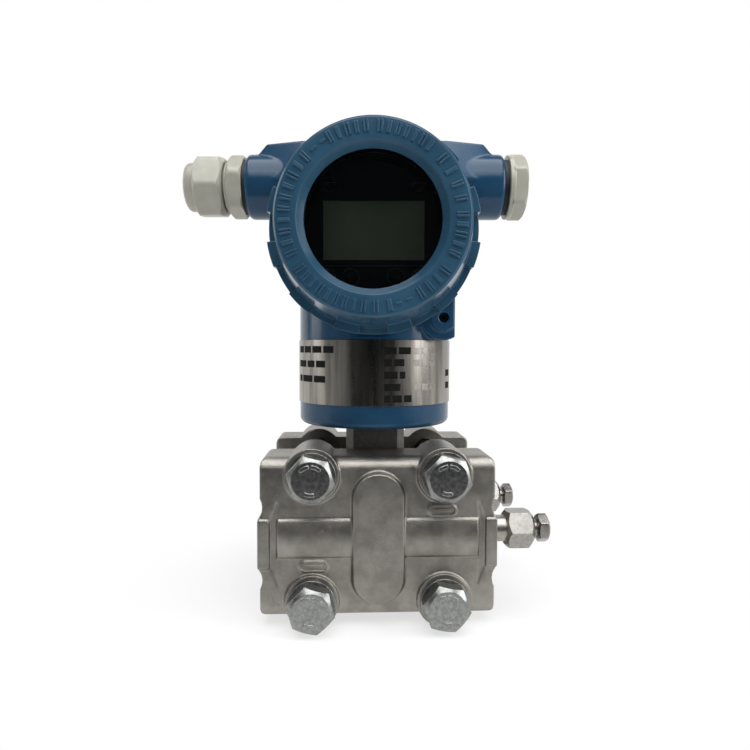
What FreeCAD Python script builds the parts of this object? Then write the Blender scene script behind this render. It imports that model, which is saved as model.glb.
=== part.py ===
import FreeCAD, Part
import math
import os

os.makedirs("parts", exist_ok=True)

# Process flanges and their bolting
port_spacing = 54.0
tap_spacing = 41.3
flange_width = 89.0
flange_height = 61.0
flange_thickness = 22.0
flange_edge_radius = 5.0
flange_corner_radius = 3.0
end_pad_rise = 1.0
end_pad_width = 4.4
end_pad_top = 7.0
end_pad_bottom = 11.3
end_scoop_height = 8.0
end_scoop_depth = 0.8
end_groove_width = 3.0
end_groove_depth = 4.0
end_groove_flare = 8.4
boss_radius = 10.3
boss_rise = 1.5
bolt_spacing_x = 50.0
bolt_spacing_z = 48.0
bolt_radius = 5.0
bolt_hole_clearance = 0.3
bolt_head_flats = 16.0
bolt_head_height = 7.2
bolt_end_length = 3.0
nut_height = 8.0
washer_radius = 9.0
washer_thickness = 2.0
face_pad_width = 19.0
face_pad_height = 49.2
face_pad_rise = 2.6
face_pad_draft = 0.8
face_rib_height = 14.0
face_rib_rise = 1.8
face_rib_step = 0.6
cast_mark_length = 10.5
cast_mark_height = 4.0
cast_mark_rise = 0.5
cast_mark_x = 24.3
cast_mark_z = 10.5
port_radius = 6.2
port_depth = 14.0
port_drill_radius = 2.5
process_tap_radius = 4.95
bracket_tap_radius = 4.25
tap_depth = 11.0
chamber_radius = 17.0
chamber_depth = 1.5
merge_depth = 0.5
bolt_edge_chamfer = 0.2
bolt_head_turns = (8.0, 22.0, 17.0, 3.0)
end_groove_lean = 0.4
hex_cone_angle = 30.0
blunt_cone_angle = 40.0

# Sensor cell between the flanges
cell_thickness = 32.0
cell_radius = 28.0
cell_rim_radius = 26.0
cell_rim_width = 4.0
seal_inner_radius = 19.5
seal_outer_radius = 23.0
seal_thickness = 1.2
diaphragm_radius = 17.5
diaphragm_thickness = 0.3
diaphragm_seat_width = 1.6
diaphragm_seat_depth = 1.2
diaphragm_wave_height = 0.35
diaphragm_wave_count = 3
oil_gap = 0.8
neck_width = 24.4
neck_depth = 24.0
neck_chamfer = 3.0
neck_overlap = 4.0
spigot_radius = 11.5
spigot_length = 15.0
spigot_chamfer = 1.0
spigot_running_clearance = 0.05
spigot_bore_radius = 4.5
spigot_bore_floor = 22.0
neck_oring_section = 1.3
neck_oring_height = 9.0
neck_oring_play = 0.03
neck_groove_play = 0.1

# Vent valves in the right-hand ports
vent_neck_radius = 5.2
vent_neck_length = 5.4
vent_hex_flats = 14.0
vent_hex_length = 11.0
vent_hex_turn = 30.0
vent_hex_near_radius = 6.4
vent_hex_far_radius = 5.6
vent_thread_length = 12.0
bleed_screw_radius = 3.0
bleed_screw_clearance = 0.3
bleed_screw_reach = 11.0
bleed_head_flats = 10.0
bleed_head_length = 4.9
bleed_head_gap = 1.6
bleed_head_end_radius = 4.0
bleed_ball_radius = 2.0
bleed_seat_gap = 0.05
weep_hole_radius = 1.1
bleed_passage_radius = 1.0
bleed_seat_inset = 0.4

# Housing casting
housing_turn = -3.2
hub_bottom = 40.0
hub_radius = 32.0
hub_edge_radius = 2.5
hub_gap = 0.3
cover_axis_height = 116.0
barrel_radius = 37.6
barrel_length = 62.0
compartment_radius = 33.5
partition_front = -14.5
partition_thickness = 4.0
wing_top_rise = 41.5
wing_end_setback = 4.0
wing_top_setback = 4.4
wing_end_rise = 35.5
wing_root_half = 30.0
wing_root_depth = 9.5
wing_end_depth = 3.7
wing_flare = 7.6
wing_edge_radius = 1.0
conduit_rise = 24.5
conduit_half = 54.0
conduit_boss_radius = 13.5
conduit_edge_radius = 2.0
conduit_bore_radius = 10.3
ear_x = 27.0
ear_drop = 32.5
ear_front_radius = 5.2
ear_rear_radius = 8.8
ear_front_length = 4.0
ear_rear_length = 9.0
ear_front_flat = 3.9
ear_rear_flat = 4.7
lock_screw_radius = 1.9
lock_screw_length = 7.0
lock_screw_recess = 2.0
wire_duct_radius = 3.5
wire_duct_shift = 23.0
rotation_screw_radius = 2.5
rotation_screw_length = 10.0
rotation_screw_height = 4.5
rotation_screw_gap = 0.3
socket_depth = 2.5
screw_slot_width = 0.8
screw_head_chamfer = 0.4
thread_play = 0.05

# Name band on the hub
band_bottom = 49.2
band_cover_gap = 1.3
band_thickness = 0.4
band_play = 0.02
band_joint_width = 1.5
rivet_radius = 1.2
rivet_head_radius = 2.0
rivet_head_height = 0.8
rivet_reach = 4.0
rivet_inset = 4.0

# Earth terminal outside the barrel
earth_boss_radius = 5.5
earth_boss_reach = 39.5
earth_boss_y = 17.0
earth_boss_rise = 2.0
earth_clamp_size = 9.0
earth_clamp_thickness = 1.2
earth_screw_radius = 2.0
earth_screw_head_radius = 3.6
earth_screw_head_height = 2.2
earth_screw_reach = 5.0

# Covers
cover_depth = 26.2
rear_cover_depth = 18.0
cover_gap = 0.3
cover_face_radius = 34.1
cover_edge_chamfer = 1.0
cover_skirt_radius = 36.9
cover_collar_radius = 39.3
cover_collar_width = 4.0
lug_radius = 39.6
lug_length = 9.0
lug_angle = 14.0
lug_count = 12
lug_root = 1.5
window_radius = 23.9
window_bevel_radius = 26.2
window_bevel_depth = 3.3
window_lip_depth = 4.5
spigot_clearance = 0.3
cover_spigot_length = 12.0
cover_cavity_radius = 28.8
rear_cover_wall = 5.0
cover_spigot_chamfer = 1.0
oring_groove_offset = 0.6
glass_radius = 27.0
glass_play = 0.2
glass_thickness = 6.0
gasket_thickness = 0.8
gasket_width = 2.4
retainer_thickness = 3.0
retainer_width = 4.0
retainer_slot_width = 2.4
oring_section = 1.8
oring_play = 0.1

# Display stack and terminals inside
lower_standoff_length = 4.0
upper_standoff_length = 6.9
standoff_flats = 5.0
standoff_x = 17.0
standoff_z = 17.0
board_thickness = 1.6
board_radius = 27.0
board_boxes = ((-8.0, 6.0, -6.0, 6.0, 2.2), (-6.0, 8.0, 11.0, 18.0, 4.0))
board_cans = ((-13.0, 0.0), (13.0, -2.0))
board_can_radius = 3.2
board_can_height = 5.0
switch_size = 4.0
switch_height = 1.0
display_radius = 26.4
lcd_y = -32.6
lcd_width = 38.2
lcd_height = 22.3
lcd_border = 2.5
lcd_thickness = 2.6
lcd_plate_inset = 1.0
frame_lip = 0.9
frame_play = 0.1
frame_chamfer = 1.0
display_screw_radius = 1.4
display_head_radius = 2.6
display_head_height = 1.4
display_screw_reach = 1.0
button_x = 8.5
button_drop = 17.5
button_radius = 2.6
button_play = 0.3
button_rise = 1.3
button_travel = 0.8
button_stem_radius = 1.4
button_stem_length = 1.0
button_edge_chamfer = 0.5
button_stop_gap = 0.1
feedthrough_radius = 5.0
feedthrough_flange = 1.5
feedthrough_head = 1.5
feedthrough_drop = 24.0
terminal_width = 44.0
terminal_height = 22.0
terminal_depth = 13.0
terminal_corner = 4.0
terminal_drop = 2.0
terminal_pitch = 13.0
terminal_count = 3
terminal_screw_radius = 2.0
terminal_head_radius = 3.6
terminal_head_height = 2.2
terminal_screw_reach = 5.0
terminal_slot_width = 9.0
terminal_slot_depth = 4.0
terminal_slot_drop = 4.0
terminal_hole_depth = 6.0
inner_earth_x = 21.0
inner_earth_drop = 19.0
inner_earth_boss_radius = 4.5
inner_earth_boss_length = 6.0
inner_earth_reach = 4.0

# Cable gland and blanking plug
entry_hex_flats = 24.0
entry_thread_clearance = 0.3
entry_thread_length = 11.0
gland_washer_thickness = 1.2
gland_washer_radius = 11.4
gland_hex_length = 6.6
gland_hex_turn = 52.5
gland_hex_corner_radius = 13.2
gland_hex_near_radius = 12.4
gland_hex_far_radius = 11.6
gland_collar_radius = 10.6
gland_collar_length = 1.1
gland_stub_radius = 9.3
gland_stub_length = 9.0
gland_bore_radius = 7.6
gland_nut_gap = 0.5
gland_nut_length = 16.8
gland_nut_turn = 34.0
gland_nut_corner_radius = 13.4
gland_nut_near_radius = 11.2
gland_nut_far_radius = 11.8
gland_dome_length = 4.6
gland_dome_radius = 10.2
gland_dome_rounding = 4.2
gland_nut_mouth = 5.8
gland_seal_bore = 5.0
gland_seal_play = 0.3
gland_seal_length = 9.0
plug_washer_thickness = 1.8
plug_washer_radius = 11.4
plug_collar_radius = 13.3
plug_collar_length = 2.2
plug_hex_length = 5.2
plug_hex_turn = 9.0
plug_hex_corner_radius = 13.6
plug_hex_far_radius = 12.4
plug_bore_radius = 7.0

# Places worked out from the sizes above
flange_inner_y = cell_thickness / 2
flange_face_y = flange_inner_y + flange_thickness
port_y = port_spacing / 2
bolt_seat_y = flange_face_y + boss_rise
end_pad_x = flange_width / 2 + end_pad_rise
end_groove_outer = end_pad_x - end_pad_width
end_groove_inner = end_groove_outer - end_groove_width
neck_top = hub_bottom - hub_gap
barrel_half = barrel_length / 2
conduit_height = cover_axis_height + conduit_rise
wing_end_half = conduit_half - wing_end_setback
wing_top_half = wing_end_half - wing_top_setback
shoulder_height = cover_axis_height - lug_radius - cover_gap
band_height = shoulder_height - band_cover_gap - band_bottom
cover_seat_y = barrel_half + cover_gap
cover_spigot_radius = compartment_radius - spigot_clearance
partition_rear = partition_front + partition_thickness
lower_board_front = partition_front - lower_standoff_length - board_thickness
upper_board_front = lower_board_front - upper_standoff_length - board_thickness
frame_front = lcd_y - frame_lip
entry_thread_radius = conduit_bore_radius - entry_thread_clearance
frame_shift = flange_width / 2


def vec(x, y, z):
    """A point or direction."""
    return FreeCAD.Vector(x, y, z)


def rod(radius, start, direction, length):
    """A round bar from a start point along a direction."""
    return Part.makeCylinder(radius, length, start, direction)


def block(x0, x1, y0, y1, z0, z1):
    """A box between two corners."""
    return Part.makeBox(x1 - x0, y1 - y0, z1 - z0, vec(x0, y0, z0))


def aimed(shape, start, direction):
    """Moves a shape made along +Z so that it starts at a point and runs along a direction."""
    copy = shape.copy()
    turn = FreeCAD.Rotation(vec(0, 0, 1), direction)
    copy.Placement = FreeCAD.Placement(start, turn)
    return copy


def lathe(profile):
    """Turns a closed outline of (radius, height) points about the Z axis."""
    corners = [vec(radius, 0, height) for radius, height in profile]
    outline = Part.makePolygon(corners + corners[:1])
    return Part.Face(outline).revolve(vec(0, 0, 0), vec(0, 0, 1), 360)


def hexagon_bar(flats, length, turn):
    """A plain hexagon bar along +Z, turned about its axis."""
    corner = flats / math.sqrt(3)
    angles = [math.radians(60 * side + turn) for side in range(6)]
    points = [vec(corner * math.cos(angle), corner * math.sin(angle), 0) for angle in angles]
    return Part.Face(Part.makePolygon(points + points[:1])).extrude(vec(0, 0, length))


def hexagon(flats, length, chamfer, turn=0.0):
    """A hexagon bar along +Z whose far end has its corners turned off."""
    corner = flats / math.sqrt(3)
    run = corner - flats / 2 + chamfer
    drop = run * math.tan(math.radians(hex_cone_angle))
    cone = lathe([(0, 0), (corner + 1, 0), (corner + 1, length - drop - drop / run),
                  (corner - run, length), (0, length)])
    return hexagon_bar(flats, length, turn).common(cone)


def blunt_hexagon(flats, length, turn, corner_radius, near_radius, far_radius):
    """A hexagon bar along +Z inside a turned outline that blunts its corners and both its ends."""
    slope = math.tan(math.radians(blunt_cone_angle))
    near = (corner_radius - near_radius) * slope
    far = (corner_radius - far_radius) * slope
    outline = lathe([(0, 0), (near_radius, 0), (corner_radius, near), (corner_radius, length - far),
                     (far_radius, length), (0, length)])
    return hexagon_bar(flats, length, turn).common(outline)


def stadium(width, height, y):
    """An upright slot-shaped wire in a plane square to Y."""
    half = width / 2
    rise = height / 2 - half
    right = Part.LineSegment(vec(half, y, -rise), vec(half, y, rise)).toShape()
    top = Part.Arc(vec(half, y, rise), vec(0, y, rise + half), vec(-half, y, rise)).toShape()
    left = Part.LineSegment(vec(-half, y, rise), vec(-half, y, -rise)).toShape()
    bottom = Part.Arc(vec(-half, y, -rise), vec(0, y, -rise - half), vec(half, y, -rise)).toShape()
    return Part.Wire([right, top, left, bottom])


def sector(inner, outer, middle, width, length):
    """A block between two radii and two angles, upright on the XY plane."""
    first = math.radians(middle - width / 2)
    half = math.radians(middle)
    last = math.radians(middle + width / 2)

    def at(radius, angle):
        return vec(radius * math.cos(angle), radius * math.sin(angle), 0)

    edges = [
        Part.LineSegment(at(inner, first), at(outer, first)).toShape(),
        Part.Arc(at(outer, first), at(outer, half), at(outer, last)).toShape(),
        Part.LineSegment(at(outer, last), at(inner, last)).toShape(),
        Part.Arc(at(inner, last), at(inner, half), at(inner, first)).toShape(),
    ]
    return Part.Face(Part.Wire(edges)).extrude(vec(0, 0, length))


def fused(first, others):
    """One solid from a shape and the shapes that meet it."""
    return first.fuse(others).removeSplitter()


def on_corners(spacing_x, spacing_z):
    """The four (x, z) corners of a rectangle."""
    return [(sx * spacing_x / 2, sz * spacing_z / 2) for sx in (-1, 1) for sz in (-1, 1)]


def save(name, shape, turned_with_housing=False):
    """Writes one node, moved to the frame of the left-hand bolt pattern."""
    placed = shape.copy()
    if turned_with_housing:
        placed.rotate(vec(0, 0, 0), vec(0, 0, 1), housing_turn)
    placed.translate(vec(frame_shift, 0, 0))
    placed.exportStep("parts/" + name + ".step")


def half_turned(shape):
    """The same piece turned half round its long axis, for the rear side."""
    copy = shape.copy()
    copy.rotate(vec(0, 0, 0), vec(1, 0, 0), 180)
    return copy


def mirrored(shape):
    """The same piece mirrored to the rear side."""
    return shape.mirror(vec(0, 0, 0), vec(0, 1, 0))


def flange_outline():
    """The flange seen from the front: corner blocks, end pads and the scoops between them."""
    half = flange_width / 2
    top = flange_height / 2
    corner = flange_corner_radius
    cut = corner * (1 - math.sqrt(0.5))
    deep_x = half - end_scoop_depth

    def line(a, b):
        return Part.LineSegment(vec(a[0], 0, a[1]), vec(b[0], 0, b[1])).toShape()

    def arc(a, b, c):
        return Part.Arc(vec(a[0], 0, a[1]), vec(b[0], 0, b[1]), vec(c[0], 0, c[1])).toShape()

    edges = []
    for up, pad in ((1, end_pad_top), (-1, end_pad_bottom)):
        edges.append(line((-half + corner, up * top), (half - corner, up * top)))
        scoop_end = pad + end_scoop_height
        deep_z = pad + end_scoop_height / 2
        for s in (1, -1):
            edges += [
                arc((s * (half - corner), up * top), (s * (half - cut), up * (top - cut)),
                    (s * half, up * (top - corner))),
                line((s * half, up * (top - corner)), (s * half, up * scoop_end)),
                arc((s * half, up * scoop_end), (s * deep_x, up * deep_z), (s * end_pad_x, up * pad)),
            ]
    for s in (1, -1):
        edges.append(line((s * end_pad_x, end_pad_top), (s * end_pad_x, -end_pad_bottom)))
    wire = Part.Wire(Part.__sortEdges__(edges))
    body = Part.Face(wire).extrude(vec(0, flange_thickness, 0))
    body.translate(vec(0, -flange_face_y, 0))
    return body


def flange_section():
    """The flange seen from its end, with the two front edges rolled over."""
    top = flange_height / 2
    roll = flange_edge_radius
    cut = roll * (1 - math.sqrt(0.5))
    front = -flange_face_y
    reach = end_pad_x + 1
    upper = Part.Arc(vec(-reach, front, top - roll), vec(-reach, front + cut, top - cut),
                     vec(-reach, front + roll, top)).toShape()
    lower = Part.Arc(vec(-reach, front + roll, -top), vec(-reach, front + cut, -top + cut),
                     vec(-reach, front, -top + roll)).toShape()
    corners = [vec(-reach, front + roll, top), vec(-reach, -flange_inner_y, top),
               vec(-reach, -flange_inner_y, -top), vec(-reach, front + roll, -top)]
    back = [Part.LineSegment(a, b).toShape() for a, b in zip(corners, corners[1:])]
    face = Part.LineSegment(vec(-reach, front, -top + roll), vec(-reach, front, top - roll)).toShape()
    wire = Part.Wire(Part.__sortEdges__([upper, lower, face] + back))
    return Part.Face(wire).extrude(vec(2 * reach, 0, 0))


def face_pad():
    """The drafted upright pad in the middle of the flange's face."""
    foot_y = -flange_face_y + merge_depth
    base = stadium(face_pad_width + 2 * face_pad_draft, face_pad_height + 2 * face_pad_draft, foot_y)
    crown = stadium(face_pad_width, face_pad_height, -flange_face_y - face_pad_rise)
    return Part.makeLoft([base, crown], True, True)


def face_rib():
    """The long low swelling over the port passage, from one end groove to the other."""
    half = face_rib_height / 2
    start = -end_groove_inner
    step = -flange_face_y - face_rib_step
    sunk = -flange_face_y + merge_depth
    curve = Part.Arc(vec(start, step, -half), vec(start, -flange_face_y - face_rib_rise, 0),
                     vec(start, step, half)).toShape()
    corners = [vec(start, step, half), vec(start, sunk, half), vec(start, sunk, -half),
               vec(start, step, -half)]
    back = [Part.LineSegment(a, b).toShape() for a, b in zip(corners, corners[1:])]
    wire = Part.Wire(Part.__sortEdges__([curve] + back))
    return Part.Face(wire).extrude(vec(2 * end_groove_inner, 0, 0))


def cast_marks():
    """The two low ovals on the face that carry the foundry's mark."""
    marks = []
    for side in (1, -1):
        wire = stadium(cast_mark_height, cast_mark_length, 0)
        oval = Part.Face(wire).extrude(vec(0, -cast_mark_rise - merge_depth, 0))
        oval.rotate(vec(0, 0, 0), vec(0, 1, 0), 90)
        oval.translate(vec(side * cast_mark_x, -flange_face_y + merge_depth, side * cast_mark_z))
        marks.append(oval)
    return marks


def end_grooves():
    """The relief behind each end pad, flared towards the corner bosses."""
    tip = end_groove_inner - end_groove_lean
    outline = [(end_groove_inner, end_pad_top), (tip, end_pad_top + end_groove_flare),
               (end_groove_outer, end_pad_top), (end_groove_outer, -end_pad_bottom),
               (tip, -end_pad_bottom - end_groove_flare), (end_groove_inner, -end_pad_bottom)]
    grooves = []
    for side in (1, -1):
        points = [vec(side * x, -flange_face_y - 1, z) for x, z in outline]
        wire = Part.makePolygon(points + points[:1])
        grooves.append(Part.Face(wire).extrude(vec(0, end_groove_depth + 1, 0)))
    return grooves


def process_flange():
    """The front flange: casting, bosses, ports, passages and tapped holes."""
    body = flange_outline().common(flange_section())
    bosses = [rod(boss_radius, vec(x, -bolt_seat_y, z), vec(0, 1, 0), flange_thickness + boss_rise)
              for x, z in on_corners(bolt_spacing_x, bolt_spacing_z)]
    body = body.cut(end_grooves())
    body = fused(body, bosses + [face_pad(), face_rib()] + cast_marks())
    holes = [rod(bolt_radius + bolt_hole_clearance, vec(x, -bolt_seat_y - 1, z), vec(0, 1, 0),
                 flange_thickness + boss_rise + 2)
             for x, z in on_corners(bolt_spacing_x, bolt_spacing_z)]
    for side, tap_radius in ((-1, process_tap_radius), (1, bracket_tap_radius)):
        mouth = vec(side * end_pad_x, -port_y, 0)
        holes.append(rod(port_radius, mouth, vec(-side, 0, 0), port_depth))
        for z in (-tap_spacing / 2, tap_spacing / 2):
            start = vec(side * flange_width / 2, -port_y, z)
            holes.append(rod(tap_radius, start, vec(-side, 0, 0), tap_depth))
    holes.append(rod(port_drill_radius, vec(-end_pad_x + port_depth - 1, -port_y, 0), vec(1, 0, 0),
                     2 * (end_pad_x - port_depth + 1)))
    holes.append(rod(port_drill_radius, vec(0, -port_y, 0), vec(0, 1, 0), port_y - flange_inner_y))
    holes.append(rod(chamber_radius, vec(0, -flange_inner_y - chamber_depth, 0), vec(0, 1, 0),
                     chamber_depth))
    return body.cut(holes)


def sensor_cell():
    """The welded cell with its seats, and the neck and spigot that carry the housing."""
    half = cell_thickness / 2
    seat = half - diaphragm_seat_depth
    hollow = diaphragm_radius - diaphragm_seat_width
    side = [(0, seat - oil_gap), (hollow, seat - oil_gap), (hollow, seat),
            (diaphragm_radius + thread_play, seat), (diaphragm_radius + thread_play, half),
            (seal_inner_radius, half), (seal_inner_radius, half - seal_thickness),
            (seal_outer_radius, half - seal_thickness), (seal_outer_radius, half),
            (cell_rim_radius, half), (cell_rim_radius, half - cell_rim_width),
            (cell_radius, half - cell_rim_width)]
    profile = side + [(radius, -height) for radius, height in reversed(side)]
    drum = aimed(lathe(profile), vec(0, 0, 0), vec(0, 1, 0))
    neck = block(-neck_width / 2, neck_width / 2, -neck_depth / 2, neck_depth / 2, 0, neck_top)
    upright = [edge for edge in neck.Edges if abs(edge.BoundBox.ZLength - neck_top) < 0.01]
    neck = neck.makeChamfer(neck_chamfer, upright)
    core = rod(cell_radius - neck_overlap, vec(0, -neck_depth / 2, 0), vec(0, 1, 0), neck_depth)
    spigot = lathe([(0, neck_top - 1), (spigot_radius, neck_top - 1),
                    (spigot_radius, neck_top + spigot_length - spigot_chamfer),
                    (spigot_radius - spigot_chamfer, neck_top + spigot_length),
                    (0, neck_top + spigot_length)])
    body = fused(drum, [neck.cut(core), spigot])
    groove_middle = neck_top + neck_oring_height
    groove_half = neck_oring_section / 2 + neck_groove_play
    groove_floor = spigot_radius - neck_oring_section
    groove_low = groove_middle - groove_half
    groove_high = groove_middle + groove_half
    groove = lathe([(groove_floor, groove_low), (spigot_radius + 1, groove_low),
                    (spigot_radius + 1, groove_high), (groove_floor, groove_high)])
    duct = rod(spigot_bore_radius, vec(0, 0, spigot_bore_floor), vec(0, 0, 1),
               neck_top + spigot_length - spigot_bore_floor + 1)
    return body.cut([groove, duct])


def neck_oring():
    """The ring seal in the spigot's groove."""
    minor = neck_oring_section / 2 - neck_oring_play
    major = spigot_radius - neck_oring_section / 2
    return Part.makeTorus(major, minor, vec(0, 0, neck_top + neck_oring_height), vec(0, 0, 1))


def flange_seal():
    """The flat ring seal on the front side."""
    ring = lathe([(seal_inner_radius + thread_play, 0), (seal_outer_radius - thread_play, 0),
                  (seal_outer_radius - thread_play, seal_thickness),
                  (seal_inner_radius + thread_play, seal_thickness)])
    return aimed(ring, vec(0, -flange_inner_y, 0), vec(0, 1, 0))


def isolating_diaphragm():
    """The corrugated disc on the front side, welded round its rim."""
    seat_y = -(cell_thickness / 2 - diaphragm_seat_depth)
    flat = diaphragm_radius - diaphragm_seat_width - 0.5
    step = flat / (2 * diaphragm_wave_count)
    lower = [(diaphragm_radius, 0), (flat, 0)]
    for wave in range(diaphragm_wave_count):
        crest = flat - (2 * wave + 1) * step
        lower += [(crest + step / 3, diaphragm_wave_height), (crest - step / 3, diaphragm_wave_height),
                  (max(crest - step, 0), 0)]
    upper = [(radius, height + diaphragm_thickness) for radius, height in reversed(lower)]
    return aimed(lathe(lower + upper), vec(0, seat_y, 0), vec(0, -1, 0))


def flange_bolts():
    """Four hexagon bolts, each head turned as it was tightened."""
    bolts = []
    length = 2 * bolt_seat_y + washer_thickness + nut_height + bolt_end_length + washer_thickness
    for (x, z), turn in zip(on_corners(bolt_spacing_x, bolt_spacing_z), bolt_head_turns):
        head_y = -bolt_seat_y - washer_thickness
        head = aimed(hexagon(bolt_head_flats, bolt_head_height, bolt_edge_chamfer, turn),
                     vec(x, head_y, z), vec(0, -1, 0))
        shank = rod(bolt_radius, vec(x, head_y, z), vec(0, 1, 0), length)
        bolts.append(fused(head, [shank]))
    return Part.makeCompound(bolts)


def flange_washers():
    """Plain washers under the bolt heads and the nuts."""
    ring = lathe([(bolt_radius + bolt_hole_clearance, 0), (washer_radius, 0),
                  (washer_radius, washer_thickness), (bolt_radius + bolt_hole_clearance, washer_thickness)])
    washers = []
    for x, z in on_corners(bolt_spacing_x, bolt_spacing_z):
        washers.append(aimed(ring, vec(x, -bolt_seat_y, z), vec(0, -1, 0)))
        washers.append(aimed(ring, vec(x, bolt_seat_y, z), vec(0, 1, 0)))
    return Part.makeCompound(washers)


def flange_nuts():
    """Four nuts on the rear side."""
    nuts = []
    for x, z in on_corners(bolt_spacing_x, bolt_spacing_z):
        seat = vec(x, bolt_seat_y + washer_thickness, z)
        nut = aimed(hexagon(bolt_head_flats, nut_height, bolt_edge_chamfer), seat, vec(0, 1, 0))
        nuts.append(nut.cut(rod(bolt_radius + thread_play, seat, vec(0, 1, 0), nut_height)))
    return Part.makeCompound(nuts)


def vent_valve_body():
    """The hexagon valve body screwed into the front vent port, bored for the bleed screw."""
    bore = bleed_screw_radius + bleed_screw_clearance
    total = vent_thread_length + vent_neck_length + vent_hex_length
    hex_start = vent_thread_length + vent_neck_length
    stem = lathe([(0, 0), (port_radius - thread_play, 0), (port_radius - thread_play, vent_thread_length),
                  (vent_neck_radius, vent_thread_length), (vent_neck_radius, hex_start + 1),
                  (0, hex_start + 1)])
    bar = blunt_hexagon(vent_hex_flats, vent_hex_length, vent_hex_turn, vent_hex_flats / math.sqrt(3),
                        vent_hex_near_radius, vent_hex_far_radius)
    bar.translate(vec(0, 0, hex_start))
    body = fused(stem, [bar])
    screw_end = total - bleed_screw_reach
    seat_height = screw_end - 2 * bleed_ball_radius - bleed_seat_gap
    cavity = lathe([(0, -1), (bleed_passage_radius, -1), (bleed_passage_radius, seat_height - 1),
                    (bleed_ball_radius - bleed_seat_inset, seat_height), (bore, seat_height + 1),
                    (bore, total + 1), (0, total + 1)])
    body = body.cut(cavity)
    body = aimed(body, vec(end_pad_x - vent_thread_length, -port_y, 0), vec(1, 0, 0))
    weep = rod(weep_hole_radius, vec(end_pad_x + vent_neck_length + vent_hex_length / 4, -port_y, 0),
               vec(0, 0, -1), vent_hex_flats)
    return body.cut(weep)


def bleed_screw():
    """The bleed screw of the front valve."""
    shank = rod(bleed_screw_radius, vec(0, 0, 0), vec(0, 0, 1), bleed_screw_reach + bleed_head_gap + 1)
    head = blunt_hexagon(bleed_head_flats, bleed_head_length, 0, bleed_head_flats / math.sqrt(3),
                         bleed_head_end_radius, bleed_head_end_radius)
    head.translate(vec(0, 0, bleed_screw_reach + bleed_head_gap))
    start_x = end_pad_x + vent_neck_length + vent_hex_length - bleed_screw_reach
    return aimed(fused(head, [shank]), vec(start_x, -port_y, 0), vec(1, 0, 0))


def bleed_ball():
    """The ball between bleed screw and seat on the front side."""
    screw_end = end_pad_x + vent_neck_length + vent_hex_length - bleed_screw_reach
    centre = vec(screw_end - bleed_ball_radius - bleed_seat_gap, -port_y, 0)
    return Part.makeSphere(bleed_ball_radius, centre)


def wing_block():
    """The shoulder across the barrel's top, narrowing upwards and towards both conduit bosses."""
    axis = cover_axis_height
    floor = conduit_height
    crown_height = axis + wing_top_rise
    plans = []
    for gain, height in ((wing_flare, floor), (0, crown_height)):
        plan = [(-wing_end_half, wing_end_depth + gain), (-wing_root_half, wing_root_depth + gain),
                (wing_root_half, wing_root_depth + gain), (wing_end_half, wing_end_depth + gain)]
        plan += [(x, -y) for x, y in reversed(plan)]
        points = [vec(x, y, height) for x, y in plan]
        plans.append(Part.makePolygon(points + points[:1]))
    body = Part.makeLoft(plans, True, True)
    outline = [(-wing_end_half, floor), (-wing_end_half, axis + wing_end_rise),
               (-wing_top_half, crown_height), (wing_top_half, crown_height),
               (wing_end_half, axis + wing_end_rise), (wing_end_half, floor)]
    reach = wing_root_depth + wing_flare + 1
    points = [vec(x, -reach, z) for x, z in outline]
    screen = Part.Face(Part.makePolygon(points + points[:1])).extrude(vec(0, 2 * reach, 0))
    body = body.common(screen)
    crown = [edge for edge in body.Edges if edge.BoundBox.ZMin > axis + wing_end_rise - 0.01]
    return body.makeFillet(wing_edge_radius, crown)


def lock_ear():
    """The stepped ear behind the front cover's rim that holds the lock screw."""
    centre_z = cover_axis_height - ear_drop
    front = -barrel_half
    tiers = []
    for radius, flat, start, length in (
        (ear_front_radius, ear_front_flat, front, ear_front_length),
        (ear_rear_radius, ear_rear_flat, front + ear_front_length, ear_rear_length),
    ):
        round_part = rod(radius, vec(ear_x, start, centre_z), vec(0, 1, 0), length)
        web = block(ear_x - radius, ear_x + flat, start, start + length, centre_z, centre_z + radius + 2)
        keep = block(ear_x - 2 * radius, ear_x + flat, start, start + length,
                     centre_z - 2 * radius, centre_z + 3 * radius)
        tiers.append(fused(round_part, [web]).common(keep))
    return fused(tiers[0], [tiers[1]])


def lock_hole():
    """The hole through the front lock ear."""
    length = ear_front_length + ear_rear_length
    return rod(lock_screw_radius, vec(ear_x, -barrel_half - 1, cover_axis_height - ear_drop), vec(0, 1, 0),
               length + 2)


def conduit_boss():
    """Both conduit bosses as one bar with rounded ends."""
    bar = rod(conduit_boss_radius, vec(-conduit_half, 0, conduit_height), vec(1, 0, 0), 2 * conduit_half)
    ends = [edge for edge in bar.Edges if edge.BoundBox.XLength < 0.01]
    return bar.makeFillet(conduit_edge_radius, ends)


def housing_hub():
    """The round hub under the barrel, cut flat where it passes behind the cover rims."""
    hub = rod(hub_radius, vec(0, 0, hub_bottom), vec(0, 0, 1), cover_axis_height - hub_bottom)
    lower_edge = [edge for edge in hub.Edges if edge.BoundBox.ZMax < hub_bottom + 0.01]
    hub = hub.makeFillet(hub_edge_radius, lower_edge)
    front = block(-hub_radius, hub_radius, -barrel_half - hub_radius, -barrel_half, shoulder_height,
                  cover_axis_height + 1)
    return hub.cut([front, mirrored(front)])


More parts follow.
